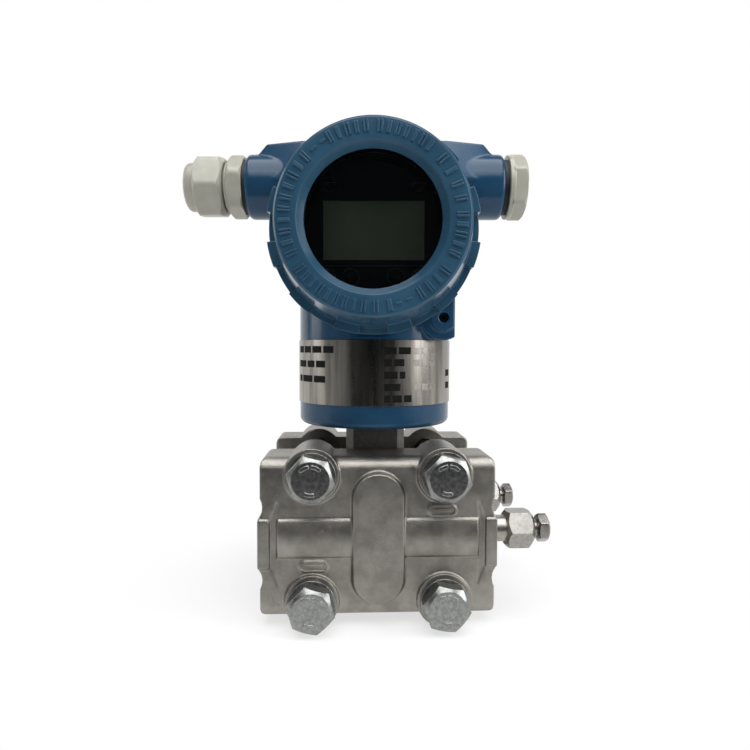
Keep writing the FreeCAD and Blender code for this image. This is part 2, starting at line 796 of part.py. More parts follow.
def housing():
    """The casting: barrel, hub, wings, conduit bosses and ears, with its bores and holes."""
    axis = cover_axis_height
    barrel = rod(barrel_radius, vec(0, -barrel_half, axis), vec(0, 1, 0), barrel_length)
    hub = housing_hub()
    earth_boss = rod(earth_boss_radius, vec(0, earth_boss_y, axis + earth_boss_rise), vec(-1, 0, 0),
                     earth_boss_reach)
    ear = lock_ear()
    body = fused(barrel, [hub, wing_block(), conduit_boss(), earth_boss, ear, mirrored(ear)])

    front_room = rod(compartment_radius, vec(0, -barrel_half, axis), vec(0, 1, 0),
                     barrel_half + partition_front)
    rear_room = rod(compartment_radius, vec(0, partition_rear, axis), vec(0, 1, 0),
                    barrel_half - partition_rear)
    socket_depth_z = spigot_length + 1
    socket = rod(spigot_radius + spigot_running_clearance, vec(0, 0, hub_bottom), vec(0, 0, 1),
                 socket_depth_z)
    duct_start = vec(0, 0, hub_bottom + socket_depth_z - wire_duct_radius)
    duct_end = vec(0, -wire_duct_shift, axis - compartment_radius + wire_duct_radius)
    duct_way = duct_end.sub(duct_start)
    duct = rod(wire_duct_radius, duct_start, duct_way, duct_way.Length)
    conduit = rod(conduit_bore_radius, vec(-conduit_half, 0, conduit_height), vec(1, 0, 0),
                  2 * conduit_half)
    screw_hole = rod(rotation_screw_radius, vec(0, 0, hub_bottom + rotation_screw_height), vec(0, 1, 0),
                     hub_radius + 1)
    feed_hole = rod(feedthrough_radius + thread_play,
                    vec(0, partition_front - 1, axis + feedthrough_drop), vec(0, 1, 0),
                    partition_thickness + 2)
    body = body.cut([front_room, rear_room, socket, duct, conduit, screw_hole, feed_hole,
                     lock_hole(), mirrored(lock_hole())])
    inner_boss = rod(inner_earth_boss_radius,
                     vec(inner_earth_x, partition_rear - 1, axis - inner_earth_drop), vec(0, 1, 0),
                     inner_earth_boss_length + 1)
    body = fused(body, [inner_boss])
    taps = [rod(terminal_screw_radius, vec(inner_earth_x, partition_rear + 1, axis - inner_earth_drop),
                vec(0, 1, 0), inner_earth_boss_length),
            rod(earth_screw_radius, vec(-earth_boss_reach + earth_screw_reach, earth_boss_y,
                                        axis + earth_boss_rise), vec(-1, 0, 0), earth_screw_reach)]
    for x, z in rivet_places():
        out = vec(x, math.sqrt(hub_radius ** 2 - x ** 2), z)
        way = vec(out.x, out.y, 0).normalize()
        start = out.sub(way * rivet_reach)
        taps.append(rod(rivet_radius, start, way, rivet_reach + 1))
    return body.cut(taps)


def rivet_places():
    """Where the band's rivets sit, as (x, z) beside its joint at the rear."""
    return [(sx * rivet_inset, z) for sx in (-1, 1)
            for z in (band_bottom + rivet_inset, band_bottom + band_height - rivet_inset)]


def nameplate_band():
    """The stainless strip round the hub, open at its rear joint."""
    inner = hub_radius + band_play
    ring = lathe([(inner, band_bottom), (inner + band_thickness, band_bottom),
                  (inner + band_thickness, band_bottom + band_height), (inner, band_bottom + band_height)])
    holes = [block(-band_joint_width / 2, band_joint_width / 2, 0, hub_radius + 2, band_bottom,
                   band_bottom + band_height)]
    for x, z in rivet_places():
        way = vec(x, math.sqrt(hub_radius ** 2 - x ** 2), 0).normalize()
        holes.append(rod(rivet_radius + thread_play, vec(0, 0, z), way, hub_radius + 2))
    return ring.cut(holes)


def nameplate_rivets():
    """Four drive rivets beside the band's joint."""
    seat = hub_radius + band_play + band_thickness
    rivets = []
    for x, z in rivet_places():
        way = vec(x, math.sqrt(hub_radius ** 2 - x ** 2), 0).normalize()
        shank_length = rivet_reach + seat - hub_radius
        rivet = lathe([(0, 0), (rivet_radius - thread_play, 0), (rivet_radius - thread_play, shank_length),
                       (rivet_head_radius, shank_length),
                       (rivet_head_radius, shank_length + rivet_head_height / 2),
                       (rivet_head_radius / 2, shank_length + rivet_head_height),
                       (0, shank_length + rivet_head_height)])
        start = way * (hub_radius - rivet_reach) + vec(0, 0, z)
        rivets.append(aimed(rivet, start, way))
    return Part.makeCompound(rivets)


def socket_screw(radius, length):
    """A headless screw along +Z with a hexagon socket at its far end."""
    body = rod(radius - thread_play, vec(0, 0, 0), vec(0, 0, 1), length)
    key = hexagon(radius, socket_depth + 1, 0)
    key.translate(vec(0, 0, length - socket_depth))
    return body.cut(key)


def slotted_screw(radius, reach, head_radius, head_height):
    """A cheese-head screw along +Z, its tip at the start and its head seat at the reach."""
    body = lathe([(0, 0), (radius - thread_play, 0), (radius - thread_play, reach), (head_radius, reach),
                  (head_radius, reach + head_height - screw_head_chamfer),
                  (head_radius - screw_head_chamfer, reach + head_height), (0, reach + head_height)])
    slot = block(-head_radius - 1, head_radius + 1, -screw_slot_width / 2, screw_slot_width / 2,
                 reach + head_height / 2, reach + head_height + 1)
    return body.cut(slot)


def cover_lock_screws():
    """The headless screws in both lock ears."""
    screw = socket_screw(lock_screw_radius, lock_screw_length)
    start_y = -barrel_half + lock_screw_recess + lock_screw_length
    front = aimed(screw, vec(ear_x, start_y, cover_axis_height - ear_drop), vec(0, -1, 0))
    return Part.makeCompound([front, mirrored(front)])


def rotation_lock_screw():
    """The screw at the rear of the hub that presses on the spigot."""
    screw = socket_screw(rotation_screw_radius, rotation_screw_length)
    start_y = spigot_radius + rotation_screw_gap
    return aimed(screw, vec(0, start_y, hub_bottom + rotation_screw_height), vec(0, 1, 0))


def earth_clamp():
    """The square clamp under the earth screw's head."""
    half = earth_clamp_size / 2
    middle = cover_axis_height + earth_boss_rise
    start = -earth_boss_reach
    plate = block(start - earth_clamp_thickness, start, earth_boss_y - half, earth_boss_y + half,
                  middle - half, middle + half)
    return plate.cut(rod(earth_screw_radius + thread_play, vec(start + 1, earth_boss_y, middle),
                         vec(-1, 0, 0), earth_clamp_thickness + 2))


def earth_screw():
    """The earth terminal's screw."""
    screw = slotted_screw(earth_screw_radius, earth_screw_reach + earth_clamp_thickness,
                          earth_screw_head_radius, earth_screw_head_height)
    return aimed(screw, vec(-earth_boss_reach + earth_screw_reach, earth_boss_y,
                            cover_axis_height + earth_boss_rise), vec(-1, 0, 0))


def skirt_profile(depth):
    """The outside of a cover from its face edge to its rim, as (radius, depth) points."""
    return [(cover_face_radius - cover_edge_chamfer, 0), (cover_face_radius, cover_edge_chamfer),
            (cover_skirt_radius, depth - cover_collar_width),
            (cover_collar_radius, depth - cover_collar_width), (cover_collar_radius, depth)]


def spigot_profile(depth):
    """The threaded spigot behind a cover's rim with its ring groove, as (radius, depth) points."""
    groove = cover_spigot_radius - oring_section + oring_play - thread_play
    first = depth + oring_groove_offset
    last = first + oring_section + 2 * oring_play
    end = depth + cover_spigot_length
    return [(cover_spigot_radius, depth), (cover_spigot_radius, first), (groove, first), (groove, last),
            (cover_spigot_radius, last), (cover_spigot_radius, end - cover_spigot_chamfer),
            (cover_spigot_radius - cover_spigot_chamfer, end), (cover_cavity_radius, end)]


def with_lugs(shell, depth):
    """Adds the wrench lugs round a cover's rim."""
    start = depth - lug_length
    lugs = []
    for index in range(lug_count):
        middle = (index + 0.5) * 360 / lug_count
        lug = sector(cover_skirt_radius - lug_root, lug_radius, middle, lug_angle, lug_length)
        lug.translate(vec(0, 0, start))
        lugs.append(lug)
    return fused(shell, lugs)


def front_cover():
    """The window cover: bevelled opening, glass pocket, drafted skirt, lugs and spigot."""
    pocket = glass_radius + glass_play
    pocket_end = window_lip_depth + gasket_thickness + glass_thickness
    bore = [(cover_cavity_radius, pocket_end), (pocket, pocket_end), (pocket, window_lip_depth),
            (window_radius, window_lip_depth), (window_radius, window_bevel_depth),
            (window_bevel_radius, 0)]
    shell = lathe(skirt_profile(cover_depth) + spigot_profile(cover_depth) + bore)
    shell = with_lugs(shell, cover_depth)
    return placed_cover(shell, cover_depth)


def placed_cover(shape, depth):
    """Moves a front cover piece from its own axis to the barrel's front."""
    return aimed(shape, vec(0, -cover_seat_y - depth, cover_axis_height), vec(0, 1, 0))


def rear_cover():
    """The blank cover behind, with the same lugs and spigot."""
    inside = [(cover_cavity_radius, rear_cover_wall), (0, rear_cover_wall), (0, 0)]
    shell = lathe(skirt_profile(rear_cover_depth) + spigot_profile(rear_cover_depth) + inside)
    shell = with_lugs(shell, rear_cover_depth)
    return mirrored(placed_cover(shell, rear_cover_depth))


def cover_oring():
    """The ring seal in the front cover's groove."""
    minor = oring_section / 2
    major = cover_spigot_radius + oring_play - minor
    middle = cover_depth + oring_groove_offset + minor + oring_play
    return placed_cover(Part.makeTorus(major, minor, vec(0, 0, middle), vec(0, 0, 1)), cover_depth)


def window_ring(inner, outer, start, thickness):
    """A flat ring or disc on the window's axis, at a depth behind the cover's face."""
    disc = lathe([(inner, start), (outer, start), (outer, start + thickness), (inner, start + thickness)])
    return placed_cover(disc, cover_depth)


def glass_gasket():
    """The gasket between the cover's lip and the glass."""
    return window_ring(glass_radius - gasket_width, glass_radius, window_lip_depth, gasket_thickness)


def front_cover_glass():
    """The round window glass."""
    return window_ring(0, glass_radius, window_lip_depth + gasket_thickness, glass_thickness)


def glass_retainer():
    """The screwed ring that holds the glass, with two wrench slots."""
    start = window_lip_depth + gasket_thickness + glass_thickness
    outer = cover_cavity_radius - thread_play
    ring = lathe([(outer - retainer_width, start), (outer, start), (outer, start + retainer_thickness),
                  (outer - retainer_width, start + retainer_thickness)])
    slot = block(-outer - 1, outer + 1, -retainer_slot_width / 2, retainer_slot_width / 2,
                 start + retainer_thickness / 2, start + retainer_thickness + 1)
    return placed_cover(ring.cut(slot), cover_depth)


def standoffs(start_y, length):
    """Four hexagon pillars that run forward from a plane."""
    pillars = []
    for x, z in on_corners(2 * standoff_x, 2 * standoff_z):
        pillar = hexagon(standoff_flats, length, 0)
        pillars.append(aimed(pillar, vec(x, start_y, cover_axis_height + z), vec(0, -1, 0)))
    return Part.makeCompound(pillars)


def round_board(radius, rear_y):
    """A round circuit board whose rear face lies in a plane."""
    return rod(radius, vec(0, rear_y, cover_axis_height), vec(0, -1, 0), board_thickness)


def electronics_board():
    """The lower board with a few tall components on it."""
    rear = partition_front - lower_standoff_length
    board = round_board(board_radius, rear)
    front = rear - board_thickness
    axis = cover_axis_height
    boxes = [block(x0, x1, front - height, front, axis + z0, axis + z1)
             for x0, x1, z0, z1, height in board_boxes]
    cans = [rod(board_can_radius, vec(x, front, axis + z), vec(0, -1, 0), board_can_height)
            for x, z in board_cans]
    return fused(board, boxes + cans)


def display_board():
    """The board that carries the display and the key switches."""
    rear = lower_board_front - upper_standoff_length
    board = round_board(display_radius, rear)
    front = rear - board_thickness
    half = switch_size / 2
    middle = cover_axis_height - button_drop
    switches = [block(sx * button_x - half, sx * button_x + half, front - switch_height, front,
                      middle - half, middle + half)
                for sx in (-1, 1)]
    return fused(board, switches)


def lcd_rear():
    """The plane behind the display panel."""
    return lcd_y + lcd_thickness


def display_frame():
    """The moulded bezel: a disc with a window, a pocket for the panel and two key holes."""
    axis = cover_axis_height
    back = upper_board_front
    disc = rod(display_radius, vec(0, back, axis), vec(0, -1, 0), back - frame_front)
    rim = [edge for edge in disc.Edges if edge.BoundBox.YMax < frame_front + 0.01]
    disc = disc.makeChamfer(frame_chamfer, rim)
    width = lcd_width / 2
    height = lcd_height / 2
    play = lcd_border + frame_play
    opening = block(-width, width, frame_front - 1, back + 1, axis - height, axis + height)
    pocket = block(-width - play, width + play, lcd_y - frame_play, back + 1,
                   axis - height - play, axis + height + play)
    holes = [opening, pocket]
    for sx in (-1, 1):
        centre = vec(sx * button_x, back + 1, axis - button_drop)
        holes.append(rod(button_radius + button_play, centre, vec(0, -1, 0), back - frame_front + 2))
    for x, z in on_corners(2 * standoff_x, 2 * standoff_z):
        centre = vec(x, back + 1, axis + z)
        holes.append(rod(display_screw_radius + thread_play, centre, vec(0, -1, 0),
                         back - frame_front + 2))
    return disc.cut(holes)


def lcd_panel():
    """The display panel, backed by a light plate that rests on the board."""
    axis = cover_axis_height
    width = lcd_width / 2 + lcd_border
    height = lcd_height / 2 + lcd_border
    glass = block(-width, width, lcd_y, lcd_rear(), axis - height, axis + height)
    inset = lcd_plate_inset
    plate = block(-width + inset, width - inset, lcd_rear(), upper_board_front, axis - height + inset,
                  axis + height - inset)
    return fused(glass, [plate])


def display_screws():
    """Four screws through the bezel and its board into the pillars."""
    screw = slotted_screw(display_screw_radius, display_screw_reach, display_head_radius,
                          display_head_height)
    screws = []
    for x, z in on_corners(2 * standoff_x, 2 * standoff_z):
        tip = vec(x, frame_front + display_screw_reach, cover_axis_height + z)
        screws.append(aimed(screw, tip, vec(0, -1, 0)))
    return Part.makeCompound(screws)


def button(side):
    """A round key cap with its stem, one on each side of the middle."""
    axis = cover_axis_height
    start = upper_board_front - switch_height - button_travel - button_stop_gap
    length = start - frame_front + button_rise
    cap = lathe([(0, 0), (button_stem_radius, 0), (button_stem_radius, button_stem_length),
                 (button_radius, button_stem_length), (button_radius, length - button_edge_chamfer),
                 (button_radius - button_edge_chamfer, length), (0, length)])
    return aimed(cap, vec(side * button_x, start, axis - button_drop), vec(0, -1, 0))


def partition_feedthrough():
    """The moulded plug that carries the wires through the partition."""
    length = partition_thickness
    plug = lathe([(0, 0), (feedthrough_radius, 0), (feedthrough_radius, length),
                  (feedthrough_radius + feedthrough_flange, length),
                  (feedthrough_radius + feedthrough_flange, length + feedthrough_head),
                  (0, length + feedthrough_head)])
    return aimed(plug, vec(0, partition_front, cover_axis_height + feedthrough_drop), vec(0, 1, 0))


def terminal_places():
    """The x places of the terminals."""
    first = -(terminal_count - 1) / 2
    return [(first + index) * terminal_pitch for index in range(terminal_count)]


def terminal_block():
    """The moulded terminal block with wire slots and screw holes."""
    middle = cover_axis_height - terminal_drop
    half_x = terminal_width / 2
    half_z = terminal_height / 2
    front = partition_rear + terminal_depth
    body = block(-half_x, half_x, partition_rear, front, middle - half_z, middle + half_z)
    corners = [edge for edge in body.Edges if abs(edge.BoundBox.YLength - terminal_depth) < 0.01]
    body = body.makeFillet(terminal_corner, corners)
    cuts = []
    for x in terminal_places():
        cuts.append(block(x - terminal_slot_width / 2, x + terminal_slot_width / 2,
                          front - terminal_slot_depth, front + 1, middle - terminal_slot_drop,
                          middle + half_z + 1))
        cuts.append(rod(terminal_screw_radius,
                        vec(x, front - terminal_slot_depth - terminal_hole_depth, middle),
                        vec(0, 1, 0), terminal_hole_depth + 1))
    return body.cut(cuts)


def terminal_screws():
    """The clamping screws in the terminal block."""
    middle = cover_axis_height - terminal_drop
    seat = partition_rear + terminal_depth - terminal_slot_depth
    reach = terminal_screw_reach
    screw = slotted_screw(terminal_screw_radius, reach, terminal_head_radius, terminal_head_height)
    return Part.makeCompound([aimed(screw, vec(x, seat - reach, middle), vec(0, 1, 0))
                              for x in terminal_places()])


def inner_earth_screw():
    """The earth screw on its boss in the terminal compartment."""
    reach = inner_earth_reach
    screw = slotted_screw(terminal_screw_radius, reach, terminal_head_radius, terminal_head_height)
    seat = partition_rear + inner_earth_boss_length
    return aimed(screw, vec(inner_earth_x, seat - reach, cover_axis_height - inner_earth_drop),
                 vec(0, 1, 0))


def on_left_entry(shape):
    """Moves a piece from its own axis to the left conduit mouth, pointing outwards."""
    return aimed(shape, vec(-conduit_half, 0, conduit_height), vec(-1, 0, 0))


def on_right_entry(shape):
    """Moves a piece from its own axis to the right conduit mouth, pointing outwards."""
    return aimed(shape, vec(conduit_half, 0, conduit_height), vec(1, 0, 0))


def entry_washer(radius, thickness):
    """A flat sealing washer round the entry thread."""
    inner = entry_thread_radius + thread_play
    return lathe([(inner, 0), (radius, 0), (radius, thickness), (inner, thickness)])


def gland_body():
    """The gland's hexagon with its collar, its entry thread and the stub for the nut."""
    hex_start = gland_washer_thickness
    collar_start = hex_start + gland_hex_length
    collar_end = collar_start + gland_collar_length
    stub_end = collar_start + gland_stub_length
    stem = lathe([(gland_bore_radius, -entry_thread_length), (entry_thread_radius, -entry_thread_length),
                  (entry_thread_radius, collar_start - 1), (gland_collar_radius, collar_start - 1),
                  (gland_collar_radius, collar_end), (gland_stub_radius, collar_end),
                  (gland_stub_radius, stub_end), (gland_bore_radius, stub_end)])
    bar = blunt_hexagon(entry_hex_flats, gland_hex_length, gland_hex_turn, gland_hex_corner_radius,
                        gland_hex_near_radius, gland_hex_far_radius)
    bar.translate(vec(0, 0, hex_start))
    bore = rod(gland_bore_radius, vec(0, 0, -entry_thread_length - 1), vec(0, 0, 1),
               stub_end + entry_thread_length + 2)
    return on_left_entry(fused(stem, [bar]).cut(bore))


def gland_nut_start():
    """How far the nut's near end is from the conduit mouth."""
    return gland_washer_thickness + gland_hex_length + gland_collar_length + gland_nut_gap


def gland_seal():
    """The rubber sleeve that grips the cable."""
    start = gland_nut_start() + gland_nut_length - gland_dome_length - gland_seal_length
    outer = gland_bore_radius - gland_seal_play
    return on_left_entry(lathe([(gland_seal_bore, start), (outer, start), (outer, start + gland_seal_length),
                                (gland_seal_bore, start + gland_seal_length)]))


def gland_nut():
    """The hexagon nut with its rounded dome."""
    start = gland_nut_start()
    end = start + gland_nut_length
    inner = gland_stub_radius + entry_thread_clearance
    dome_start = end - gland_dome_length
    bar = blunt_hexagon(entry_hex_flats, dome_start - start, gland_nut_turn, gland_nut_corner_radius,
                        gland_nut_near_radius, gland_nut_far_radius)
    bar.translate(vec(0, 0, start))
    dome = rod(gland_dome_radius, vec(0, 0, dome_start - 1), vec(0, 0, 1), gland_dome_length + 1)
    rim = [edge for edge in dome.Edges if edge.BoundBox.ZMin > end - 0.01]
    body = fused(bar, [dome.makeFillet(gland_dome_rounding, rim)])
    room = lathe([(0, start - 1), (inner, start - 1), (inner, dome_start), (gland_nut_mouth, dome_start),
                  (gland_nut_mouth, end + 1), (0, end + 1)])
    return on_left_entry(body.cut(room))


def blanking_plug():
    """The hexagon plug in the right entry."""
    collar_start = plug_washer_thickness
    hex_start = collar_start + plug_collar_length
    stem = lathe([(0, -entry_thread_length), (entry_thread_radius, -entry_thread_length),
                  (entry_thread_radius, collar_start), (plug_collar_radius, collar_start),
                  (plug_collar_radius, hex_start), (0, hex_start)])
    bar = blunt_hexagon(entry_hex_flats, plug_hex_length, plug_hex_turn, plug_hex_corner_radius,
                        plug_collar_radius, plug_hex_far_radius)
    bar.translate(vec(0, 0, hex_start))
    hollow = rod(plug_bore_radius, vec(0, 0, -entry_thread_length), vec(0, 0, 1), entry_thread_length)
    return on_right_entry(fused(stem, [bar]).cut(hollow))


def sensor_module():
    """Writes the pieces below the hub."""
    flange = process_flange()
    save("process_flange_front", flange)
    save("process_flange_rear", half_turned(flange))
    save("sensor_cell", sensor_cell())
    save("neck_oring", neck_oring())
    for name, piece in (("isolating_diaphragm", isolating_diaphragm()), ("flange_seal", flange_seal()),
                        ("vent_valve_body", vent_valve_body()), ("bleed_screw", bleed_screw()),
                        ("bleed_ball", bleed_ball())):
        save(name + "_front", piece)
        save(name + "_rear", mirrored(piece))
    save("flange_bolts", flange_bolts())
    save("flange_washers", flange_washers())
    save("flange_nuts", flange_nuts())


def housing_pieces():
    """Writes the casting and what is fixed to it."""
    save("housing", housing(), True)
    save("nameplate_band", nameplate_band(), True)
    save("nameplate_rivets", nameplate_rivets(), True)
    save("cover_lock_screws", cover_lock_screws(), True)
    save("rotation_lock_screw", rotation_lock_screw(), True)
    save("earth_clamp", earth_clamp(), True)
    save("earth_screw", earth_screw(), True)
    save("lower_standoffs", standoffs(partition_front, lower_standoff_length), True)
    save("electronics_board", electronics_board(), True)
    save("upper_standoffs", standoffs(lower_board_front, upper_standoff_length), True)
    save("display_board", display_board(), True)
    save("display_frame", display_frame(), True)
    save("lcd_panel", lcd_panel(), True)
    save("display_screws", display_screws(), True)
    save("button_left", button(-1), True)
    save("button_right", button(1), True)
    save("partition_feedthrough", partition_feedthrough(), True)
    save("terminal_block", terminal_block(), True)
    save("terminal_screws", terminal_screws(), True)
    save("inner_earth_screw", inner_earth_screw(), True)


def cover_pieces():
    """Writes both covers and the window's pieces."""
    save("front_cover", front_cover(), True)
    save("front_cover_glass", front_cover_glass(), True)
    save("glass_gasket", glass_gasket(), True)
    save("glass_retainer", glass_retainer(), True)
    save("front_cover_oring", cover_oring(), True)
    save("rear_cover", rear_cover(), True)
    save("rear_cover_oring", mirrored(cover_oring()), True)


def entry_pieces():
    """Writes the cable gland and the blanking plug."""
    save("gland_body", gland_body(), True)
    save("gland_washer", on_left_entry(entry_washer(gland_washer_radius, gland_washer_thickness)), True)
    save("gland_seal", gland_seal(), True)
    save("gland_nut", gland_nut(), True)
    save("blanking_plug", blanking_plug(), True)
    save("plug_washer", on_right_entry(entry_washer(plug_washer_radius, plug_washer_thickness)), True)


sensor_module()
housing_pieces()
cover_pieces()
entry_pieces()
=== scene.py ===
"""Looks of a differential pressure transmitter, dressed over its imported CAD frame."""
import logging
import math
from dataclasses import dataclass
from enum import Enum
from typing import Any, Dict, List, Optional, Sequence, Tuple, Union

import bmesh
import bpy
from mathutils import Matrix, Vector


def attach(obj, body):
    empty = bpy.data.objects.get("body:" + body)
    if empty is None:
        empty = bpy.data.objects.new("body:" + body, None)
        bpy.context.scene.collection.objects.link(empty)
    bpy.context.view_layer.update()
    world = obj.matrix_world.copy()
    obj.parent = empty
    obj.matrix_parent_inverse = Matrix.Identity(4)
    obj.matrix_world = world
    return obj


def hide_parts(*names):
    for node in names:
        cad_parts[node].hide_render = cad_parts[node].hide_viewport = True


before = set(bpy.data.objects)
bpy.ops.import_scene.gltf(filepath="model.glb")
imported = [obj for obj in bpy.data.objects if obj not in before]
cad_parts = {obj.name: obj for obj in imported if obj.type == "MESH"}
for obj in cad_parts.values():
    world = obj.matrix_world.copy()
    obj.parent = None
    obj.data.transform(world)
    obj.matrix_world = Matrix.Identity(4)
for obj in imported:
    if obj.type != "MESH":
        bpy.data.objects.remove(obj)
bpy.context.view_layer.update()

MM = 0.001
CENTRE_X = 44.5
HOUSING_TURN = -3.2
COVER_AXIS = 116.0
ENTRY_AXIS = 140.5
ROUND_STEPS = 4
FLAT_PIECES = 6
THREAD_STEPS = 40
THREAD_SINK = 0.02
THREAD_FLANK = 0.42
THREAD_FADE = 3
SHARP_ANGLE = 34.0
CAST_SHARP_ANGLE = 60.0
WELD_GAP = 2e-6
MOULDED_PITCH = 1.5
MOULDED_RISE = 0.25
Corner = Tuple[float, ...]
Inputs = Dict[Union[int, str], Any]
Pair = Tuple[float, float]
Triple = Tuple[float, float, float]
Colour = Triple
Number = Union[float, "Value"]
log = logging.getLogger("transmitter")


class Heading(Enum):
    """Where a piece's own Z axis points, as degrees round the upright axis from the display's side."""

    FRONT = 0.0
    REAR = 180.0
    LEFT = -90.0
    RIGHT = 90.0


def seat(heading: Heading, x: float, y: float, z: float, turned: bool = False) -> Matrix:
    """Places a piece whose Z axis points outwards at a heading.

    Args:
        heading: the side that the Z axis points to.
        x, y, z: the piece's origin in millimetres from the hub's axis and the ports' height.
        turned: True for what turns with the housing.

    Returns:
        The piece's matrix in the row frame, for points in millimetres.
    """
    turn = Matrix.Rotation(math.radians(HOUSING_TURN if turned else 0.0), 4, "Z")
    outward = Matrix.Rotation(math.radians(heading.value), 4, "Z") @ Matrix.Rotation(math.pi / 2, 4, "X")
    middle = Matrix.Translation((CENTRE_X, 0, 0)) @ turn @ Matrix.Translation((x, y, z))
    return Matrix.Scale(MM, 4) @ middle @ outward


def upright() -> Matrix:
    """Places a piece of the housing whose Z axis is the hub's axis, for points in millimetres."""
    turn = Matrix.Rotation(math.radians(HOUSING_TURN), 4, "Z")
    return Matrix.Scale(MM, 4) @ Matrix.Translation((CENTRE_X, 0, 0)) @ turn


def polar(radius: float, angle: float, height: float = 0.0) -> Vector:
    """A point at a radius and an angle in degrees, at a height."""
    turn = math.radians(angle)
    return Vector((radius * math.cos(turn), radius * math.sin(turn), height))


def soften(corners: Sequence[Corner], closed: bool) -> List[Pair]:
    """Rounds the corners of an outline.

    Args:
        corners: (u, v) or (u, v, radius) for each corner.
        closed: True where the last corner joins the first.

    Returns:
        The outline's points.
    """
    count = len(corners)
    points: List[Pair] = []
    for index, corner in enumerate(corners):
        here = Vector(corner[:2])
        radius = corner[2] if len(corner) > 2 else 0.0
        if radius == 0.0 or (not closed and index in (0, count - 1)):
            points.append((here.x, here.y))
            continue
        before = Vector(corners[index - 1][:2]) - here
        after = Vector(corners[(index + 1) % count][:2]) - here
        half = before.angle(after) / 2
        run = min(radius / math.tan(half), before.length * 0.49, after.length * 0.49)
        start = here + before.normalized() * run
        end = here + after.normalized() * run
        for step in range(ROUND_STEPS + 1):
            part = step / ROUND_STEPS
            near = start.lerp(here, part).lerp(here.lerp(end, part), part)
            points.append((near.x, near.y))
    return points


def hexagon(flats: float, corner: float, turn: float) -> List[Pair]:
    """The outline of a hexagon with rounded corners.

    Args:
        flats: its width across the flats.
        corner: the radius of its corners.
        turn: the angle of its first corner in degrees.

    Returns:
        The outline's points, anticlockwise.
    """
    sharp = [polar(flats / math.sqrt(3), turn + 60 * side) for side in range(6)]
    rounded = soften([(point.x, point.y, corner) for point in sharp], True)
    outline: List[Pair] = []
    for index, point in enumerate(rounded):
        following = Vector(rounded[(index + 1) % len(rounded)])
        here = Vector(point)
        parts = FLAT_PIECES if (following - here).length > corner * 0.6 + 0.3 else 1
        outline += [tuple(here.lerp(following, part / parts)) for part in range(parts)]
    return outline


class Value:
    """A shader number that takes part in Python arithmetic."""

    def __init__(self, graph: "Graph", socket: bpy.types.NodeSocket) -> None:
        """Keeps the graph and the socket that the number comes from."""
        self.graph = graph
        self.socket = socket

    def _joined(self, operation: str, first: Number, second: Number) -> "Value":
        """Adds a Math node for an operation on two numbers."""
        return self.graph.number("ShaderNodeMath", {0: first, 1: second}, operation=operation)

    def __add__(self, other: Number) -> "Value":
        """self + other."""
        return self._joined("ADD", self, other)

    __radd__ = __add__

    def __sub__(self, other: Number) -> "Value":
        """self - other."""
        return self._joined("SUBTRACT", self, other)

    def __rsub__(self, other: Number) -> "Value":
        """other - self."""
        return self._joined("SUBTRACT", other, self)

    def __mul__(self, other: Number) -> "Value":
        """self * other."""
        return self._joined("MULTIPLY", self, other)

    __rmul__ = __mul__

    def at_most(self, limit: Number) -> "Value":
        """The lesser of self and the limit."""
        return self._joined("MINIMUM", self, limit)

    def spread(self, low: float, high: float) -> "Value":
        """Maps self smoothly from 0 at low to 1 at high."""
        return self.graph.number("ShaderNodeMapRange", {"Value": self, "From Min": low, "From Max": high},
                                 "Result", interpolation_type="SMOOTHSTEP")


